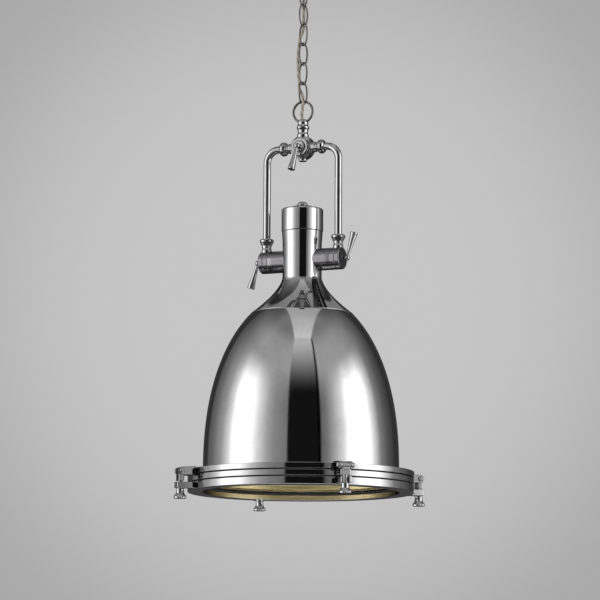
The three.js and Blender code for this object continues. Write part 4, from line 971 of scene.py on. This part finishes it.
def bell(sides=144):
    """The spun bell: its outside, a folded seam and foot, and its lined inside."""
    curve = bell_curve()
    seam, wall = curve[-1:], BELL_RADIUS - BELL_WALL
    outer = joined([[BELL_RADIUS, FLANGE_Z + 0.3]], curve[:-1], seam - [0, 0.5], seam - [0.4, 0.3])
    inner = joined(seam - [BELL_WALL, 0.3], curve[::-1][1:] - [BELL_WALL, GAP],
                   [[wall, FLANGE_Z + 0.3], [wall + 0.3, FLANGE_Z], [BELL_RADIUS - 0.3, FLANGE_Z]])
    row = np.arange(len(outer) + len(inner))
    lined = (row >= len(outer) + 4) & (row < len(row) - 3)
    piece("spun_bell", "shade", "shade_bell", [SHADE_CHROME, LINING],
          [turned(joined(outer, inner), sides, ring=True)], paint_rows=np.repeat(lined, sides))


def middles(profile):
    """The radius of the middle of each side of a closed profile."""
    return (profile[:, 0] + np.roll(profile[:, 0], -1)) / 2


def rim(sides=160):
    """The rim's three bands, the gasket and the glass."""
    low, high, inner = FLANGE_Z, RIM_TOP_Z, BELL_RADIUS + GAP
    band = filleted([[inner, low], [RIM_RADIUS, low], [RIM_RADIUS, high - 0.4],
                     [RIM_RADIUS - 0.6, high], [inner, high]], [0.2, 0.5, 0.8, 1.0, 0.2])
    piece("rim_top_band", "shade", "rim_flange", RIM_CHROME, [turned(band, sides, ring=True)],
          slot="chromed_aluminium")
    low, high, lip, seat = SEAT_Z, FLANGE_Z - GAP, BELL_RADIUS - SEAT_LIP, GLASS_RADIUS + GAP
    step = GLASS_Z + GLASS_THICKNESS + GAP
    band = filleted([
        [seat, low], [GROOVE_RADIUS, low], [GROOVE_RADIUS, low + GROOVE_WIDTH],
        [RIM_RADIUS, low + GROOVE_WIDTH], [RIM_RADIUS, high - GROOVE_WIDTH],
        [GROOVE_RADIUS, high - GROOVE_WIDTH], [GROOVE_RADIUS, high], [lip, high], [lip, step],
        [seat, step]], [0.2, 0.2, 0.2, 0.6, 0.6, 0.2, 0.2, 0.5, 0.5, 0.3])
    r = middles(band)
    paint = np.where(r < lip + 0.2, 1, np.where((r > seat + 0.5) & (r < RIM_RADIUS - 1.4), 2, 0))
    piece("rim_middle_band", "shade", "seat_ring", [RIM_CHROME, LINING, RUBBER],
          [turned(band, sides, ring=True)], paint_rows=np.repeat(paint, sides),
          slot="chromed_aluminium")
    low, high, ledge = BEZEL_Z, BEZEL_Z + BEZEL_HEIGHT, BEZEL_Z + BEZEL_LIP
    mouth = BEZEL_OPENING + BAND_EDGE
    band = filleted([
        [BEZEL_OPENING, low + BAND_EDGE], [mouth, low], [RIM_RADIUS - BAND_EDGE, low],
        [RIM_RADIUS, low + BAND_EDGE], [RIM_RADIUS, high], [seat, high], [seat, ledge],
        [BEZEL_OPENING, ledge]], [0.8, 0.8, 0.8, 0.8, 0.5, 0.3, 0.3, 0.6])
    forks = [placed(placed(fork(), None, AT_CLAMP), about_z(turn)) for turn in CLAMP_TURNS]
    # The lip's faces take the painted gold reflection.
    paint = np.repeat(middles(band) < BEZEL_OPENING + 0.4, sides)
    paint = joined(paint, np.zeros(sum(len(part[1]) for part in forks), bool))
    piece("rim_glass_holder", "shade", "bezel", [RIM_CHROME, GOLD_REFLECTION_LIP],
          [turned(band, sides, ring=True), *forks], paint_rows=paint, slot="chromed_aluminium")
    high = GASKET_Z + GASKET_THICKNESS
    seal = filleted([[mouth, GASKET_Z], [GLASS_RADIUS, GASKET_Z], [GLASS_RADIUS, high],
                     [mouth, high]], [1.2, 0.6, 0.6, 1.6])
    piece("glass_seal", "shade", "gasket", RUBBER, [turned(seal, sides, ring=True)])
    piece("lens", "shade", "lens_glass", LENS,
          [rod(GLASS_RADIUS, GLASS_Z, GLASS_Z + GLASS_THICKNESS, sides, 0.5)], slot="glass")


def lamp_inside():
    """The ribbed lampholder, the bulb's screw base and its envelope. The thread's radius is
    less by d (1 - cos(2 pi n t)) / 2 at the share t of its n turns."""
    top = GAP - HOLDER_LEDGE + HOLDER_FLANGE
    flange, bore = NECK_BORE - 2 * GAP, SCREW_RADIUS + 0.5
    ribs = [[HOLDER_RADIUS - 1.0 * (i % 2), -18 - 3.5 * i] for i in range(1, 8)]
    holder = filleted([
        [LEAD_BORE, top], [flange, top], [flange, top - HOLDER_FLANGE],
        [HOLDER_RADIUS, top - HOLDER_FLANGE], *ribs, [HOLDER_RADIUS, 1.6 - HOLDER_BOTTOM],
        [HOLDER_RADIUS - 1.6, -HOLDER_BOTTOM], [bore, -HOLDER_BOTTOM], [bore, -HOLDER_ROOF],
        [LEAD_BORE, -HOLDER_ROOF]], 0.5)
    piece("bulb_holder", "shade", "lampholder", PORCELAIN, [turned(holder, 72, ring=True)],
          at=AT_PIVOTS)
    start, turns = -HOLDER_ROOF - GAP, 6
    share = np.linspace(0, 1, 57)
    thread = np.stack([SCREW_RADIUS - 0.55 * (1 - np.cos(share * turns * FULL_TURN)) / 2,
                       start - 8.5 - share * 18], 1)
    screw = joined([[0, start], [5.0, start], [5.6, start - 0.8], [8.2, start - 2.2],
                    [12.6, start - 5.6]], thread,
                   [[SCREW_RADIUS - 0.1, start - SCREW_LENGTH], [0, start - SCREW_LENGTH]])
    piece("bulb_thread", "shade", "bulb_screw", BRASS, [turned(screw, 64)], at=AT_PIVOTS)
    start -= SCREW_LENGTH + GAP
    shares = [[0.4, 0], [0.46, 0.12], [0.6, 0.24], [0.84, 0.42], [0.98, 0.58], [1, 0.68],
              [0.93, 0.82], [0.66, 0.95], [0.3, 0.995], [0, 1]]
    outer, inner = (spline(from_shares(shares, BULB_RADIUS - wall, wall - BULB_LENGTH, start), 6)
                    for wall in (0, BULB_WALL))
    piece("bulb_envelope", "shade", "bulb_glass", PEARL, [turned(joined(outer[::-1], inner), 64)],
          at=AT_PIVOTS, slot="glass")


# The clamps, each in its own frame: the pin's middle is the origin, and X points outward

def fork():
    """The bezel's fork: a plate with a slot that ends round the stud."""
    side, half = FORK_WIDTH / 2, STUD_RADIUS + STUD_PLAY
    corners = filleted([[FORK_BACK, -side], [FORK_TIP, -side], [FORK_TIP, -half], [FORK_TIP, half],
                        [FORK_TIP, side], [FORK_BACK, side]], [0, 2.6, 0, 0, 2.6, 0], 5, 0.0)
    split = np.argmin(np.linalg.norm(corners - [FORK_TIP, -half], axis=1)) + 1
    outline = joined(corners[:split], arc((0, 0), half, 90, 270, 12)[::-1], corners[split:])
    low = FORK_INSET - CLAMP_PIN_HEIGHT
    return plate(outline, low, low + FORK_THICKNESS, 0.7)


def lug(back=-23, root_end=-15):
    """Two ears, which narrow from the rim to a half circle round the pin, and their root."""
    nose = arc((0, 0), EAR_RADIUS, -83, 83, 20)
    outline = joined([[back, -EAR_ROOT]], nose, [[back, EAR_ROOT]])
    side = EAR_START + EAR_THICKNESS
    root = filleted([[back, -7.4], [root_end, -6.7], [root_end, 6.7], [back, 7.4]], [0, 0.8, 0.8, 0])
    plates = [plate(outline, EAR_START, side, 0.6), plate(outline, -side, -EAR_START, 0.6),
              plate(root, 0.2 - side, side - 0.2, 0.3)]
    return [placed(part, UPRIGHT) for part in plates]


def hinge_pin():
    """A pin with a round head at each end."""
    side = EAR_START + EAR_THICKNESS + GAP
    end = side + PIN_HEAD_LENGTH
    half = np.array([[PIN_RADIUS, side], [PIN_HEAD_RADIUS, side], [PIN_HEAD_RADIUS, end - 1.0],
                     [3.2, end], [0, end]])
    radii = [0, 0.25, 0.8, 1.2, 0]
    whole = joined(half[::-1] * [1, -1], half)
    return placed(turned(filleted(whole, radii[::-1] + radii), 40), ALONG_Y)


def swing_bolt():
    """The eye, shank and body of a swing bolt, and its stud, whose thread of a pitch p is
    less by d (1 + cos(2 pi h / p)) / 2 and fades in under the body."""
    half, side = BOLT_DEPTH / 2, BOLT_EYE_WIDTH / 2
    eye = placed(rod(BOLT_EYE_RADIUS, -side, side, 40, 0.6), ALONG_Y)
    top = -EAR_RADIUS - BOLT_PLAY
    bottom = FORK_INSET + FORK_THICKNESS + BOLT_STANDOFF - CLAMP_PIN_HEIGHT
    shank = plate(filleted(rectangle(half, side), 0.8), top - OVERRUN, -0.4, 0.3)
    body = plate(filleted(rectangle(half, BOLT_WIDTH / 2), 2, 6), bottom, top, 0.7)
    end = -CLAMP_PIN_HEIGHT - STUD_END
    h = np.linspace(bottom, end + 0.9, 121)
    worn = np.clip((bottom - 1.7 - h) / 2, 0, 1)
    depth = THREAD_DEPTH * worn * (1 + np.cos(h / THREAD_PITCH * FULL_TURN)) / 2
    thread = np.stack([STUD_RADIUS - depth, h], 1)
    stud = joined([[0, -14], [STUD_RADIUS, -14]], thread, [[STUD_RADIUS - 0.7, end], [0, end]])
    return [eye, shank, body, turned(stud, 32)]


def nut():
    """A tall nut with a fluted foot."""
    top = FORK_INSET - NUT_PLAY - CLAMP_PIN_HEIGHT
    bore, roof = STUD_RADIUS + NUT_CLEARANCE, top - NUT_HEIGHT + NUT_FLOOR
    shares = [[0.61, 0], [0.6, 0.3], [0.66, 0.5], [0.92, 0.72], [1, 0.84], [0.92, 1]]
    profile = joined([[0, top - NUT_HEIGHT]], from_shares(shares, NUT_RADIUS, -NUT_HEIGHT, top)[::-1],
                     [[bore, top], [bore, roof], [0, roof]])
    return turned(filleted(profile, [0, 0.9, 0.9, 1.0, 2.0, 2.0, 0.4, 0.3, 0, 0], 5), 72,
                  flutes=(12, 0.9, top - 14.4, top - 9.4))


def clamps():
    for k, turn in enumerate(CLAMP_TURNS, 1):
        for name, body, node_name, parts in (
                ("hinge_lug", "shade", "clamp_lug", lug()),
                ("hinge_pin", "shade", "clamp_pin", [hinge_pin()]),
                ("swing_stud", f"swing_bolt_{k}", "clamp_bolt", swing_bolt()),
                ("foot_nut", f"nut_{k}", "clamp_nut", [nut()])):
            piece(f"{name}_{k}", body, f"{node_name}_{k}", CHROME,
                  [placed(part, None, AT_CLAMP) for part in parts], about_z(turn))


# The studio

def window(tree, value, low, high, soft):
    """1 between two limits and 0 outside them, with soft edges."""
    rise = mapped(tree, value, low - soft / 2, low + soft / 2, smooth=True)
    return times(tree, rise, mapped(tree, value, high - soft / 2, high + soft / 2, 1.0, 0.0, True))


def float_mix(tree, share, first, second):
    return node(tree, "Mix", {0: share, 2: first, 3: second}, data_type="FLOAT").outputs[0]


def dot(tree, vector, axis):
    return node(tree, "VectorMath", {0: vector, 1: axis}, operation="DOT_PRODUCT").outputs["Value"]


def camera_ray(tree):
    return node(tree, "LightPath").outputs["Is Camera Ray"]


# The light round the room: degrees from the camera's side to the right, and brightness.
WALLS = [
    (-180, 0.06), (-146, 0.06), (-142, 0.2), (-128, 0.27), (-108, 0.5), (-96, 0.95), (-86, 1.8),
    (-66, 1.8), (-53, 0.95), (-42, 0.5), (-33, 0.32), (-20, 0.24), (24, 0.16), (31, 0.24),
    (40, 0.5), (52, 1.0), (62, 1.9), (84, 2.0), (96, 1.0), (108, 0.32), (122, 0.17), (138, 0.1),
    (146, 0.06), (180, 0.06)]
BRIGHTEST = 2.0


def studio_light():
    """A grey room with tall soft lights at the left and right, dark opposite the camera and
    below, under a grey ceiling. A pale band runs overhead, and a dark stripe, which grows
    paler upward except at its right edge, stands behind the camera. The camera itself sees
    plain grey.

    Side is an angle round the room from the camera to the right, height is one from level up,
    and over is one from the camera's side over the top."""
    world = bpy.data.worlds.new("studio")
    bpy.context.scene.world = world
    world.use_nodes = True
    tree = world.node_tree
    tree.nodes.clear()
    turn, pitch = math.radians(CAMERA_TURN), math.radians(CAMERA_PITCH)
    to_degrees = 180 / math.pi
    ray = coordinates(tree, "Generated")
    toward = dot(tree, ray, (math.sin(turn), -math.cos(turn), 0))
    right = dot(tree, ray, (math.cos(turn), math.sin(turn), 0))
    up = node(tree, "SeparateXYZ", {0: ray}).outputs["Z"]
    side = times(tree, math_node(tree, "ARCTAN2", right, toward), to_degrees)
    height = times(tree, math_node(tree, "ARCSINE", up), to_degrees)
    over = times(tree, math_node(tree, "ARCTAN2", up, toward), to_degrees)
    away = math_node(tree, "ABSOLUTE", side)
    level = mapped(tree, height, 48, 68, 0.42, 0.23, True)
    level = times(tree, level, mapped(tree, away, 75, 140, 1.0, 0.3))
    level = float_mix(tree, mapped(tree, height, -16, -30, smooth=True), level, 0.05)
    around = node(tree, "ValToRGB", {"Fac": mapped(tree, side, -180, 180)})
    stops = around.color_ramp.elements
    while len(stops) < len(WALLS):
        stops.new(0.5)
    for stop, (angle, light) in zip(stops, WALLS):
        stop.position = (angle + 180) / 360
        stop.color = (*[light / BRIGHTEST] * 3, 1)
    walls = times(tree, around.outputs["Color"], BRIGHTEST)
    level = float_mix(tree, window(tree, height, -28, 32.5, 20), level, walls)
    back = times(tree, window(tree, away, 143, 200, 8), window(tree, height, -18, 62, 16))
    level = float_mix(tree, back, level, 0.06)
    aside = math_node(tree, "ABSOLUTE", math_node(tree, "SUBTRACT", right, 0.02))
    inside = math_node(tree, "SUBTRACT", mapped(tree, over, 60, 112, 0.16, 0.32), aside)
    band = times(tree, mapped(tree, inside, -0.015, 0.015, smooth=True),
                 window(tree, over, 59, 150, 4))
    level = float_mix(tree, band, level, mapped(tree, over, 55, 85, 0.8, 0.5))
    stripe = times(tree, window(tree, side, -16.5, 23.5, 3), window(tree, height, -18, 59, 5))
    dark = times(tree, mapped(tree, height, 27, 60, 0.008, 0.6, True),
                 mapped(tree, side, 19, 21.5, 1.0, 0.02))
    level = float_mix(tree, stripe, level, dark)
    axis = (-math.sin(turn) * math.cos(pitch), math.cos(turn) * math.cos(pitch), math.sin(pitch))
    corner, centre = math.cos(math.radians(7.2)), math.cos(math.radians(2))
    paper = mapped(tree, dot(tree, ray, axis), corner, centre, 0.4, 0.56, True)
    level = float_mix(tree, camera_ray(tree), level, paper)
    light = node(tree, "Background", {"Color": (1, 1, 1, 1), "Strength": level})
    fed(tree, node(tree, "OutputWorld").inputs, Surface=light.outputs[0])


def soft_light(name, kind, place, target, power, **settings):
    """A soft light that only matt faces take up, so no metal mirrors its edges."""
    data = bpy.data.lights.new(name, kind)
    data.energy = power
    for key, value in settings.items():
        setattr(data, key, value)
    made = added(name, data)
    made.location = place
    made.rotation_mode = "QUATERNION"
    made.rotation_quaternion = (Vector(place) - Vector(target)).to_track_quat("Z", "Y")
    made.visible_glossy = False
    made.visible_camera = False


def floor(reach=12.0, height=-1.9):
    """A plain pale floor below the lamp, in metres. It is seen from above only, and away from
    the lamp only by the camera."""
    mesh = bpy.data.meshes.new("floor")
    mesh.from_pydata([(x, y, height) for x, y in rectangle(reach, reach)], [], [(0, 1, 2, 3)])
    made = added("floor", mesh)
    material, tree, shader = new_material("pale_floor", Roughness=0.8)
    cloud = mapped(tree, noise(tree, 1.5, 3.0), 0.35, 0.65)
    fed(tree, shader.inputs, Base_Color=blended(tree, cloud, (0.76, 0.76, 0.76), (0.8, 0.8, 0.795)))
    flat = node(tree, "VectorMath", {0: coordinates(tree), 1: (1, 1, 0)}, operation="MULTIPLY")
    away = node(tree, "VectorMath", {0: flat.outputs[0]}, operation="LENGTH").outputs["Value"]
    far = times(tree, mapped(tree, away, 0.5, 0.9, smooth=True),
                math_node(tree, "SUBTRACT", 1.0, camera_ray(tree)))
    below = node(tree, "NewGeometry").outputs["Backfacing"]
    seen_through(tree, shader, math_node(tree, "MAXIMUM", below, far))
    mesh.materials.append(material)


cord_stretches()
ceiling_end()
cord_grip()
chain()
hub()
yoke()
inner_lead()
levers()
neck()
bell()
rim()
lamp_inside()
clamps()
studio_light()
soft_light("high_light", "SUN", (-1.4, -2.2, 3.0), (0, 0, -0.9), 1.3, angle=0.5)
soft_light("mouth_light", "AREA", (0.7, -1.5, -1.75), (0, 0, -0.8), 32, size=1.2)
floor()
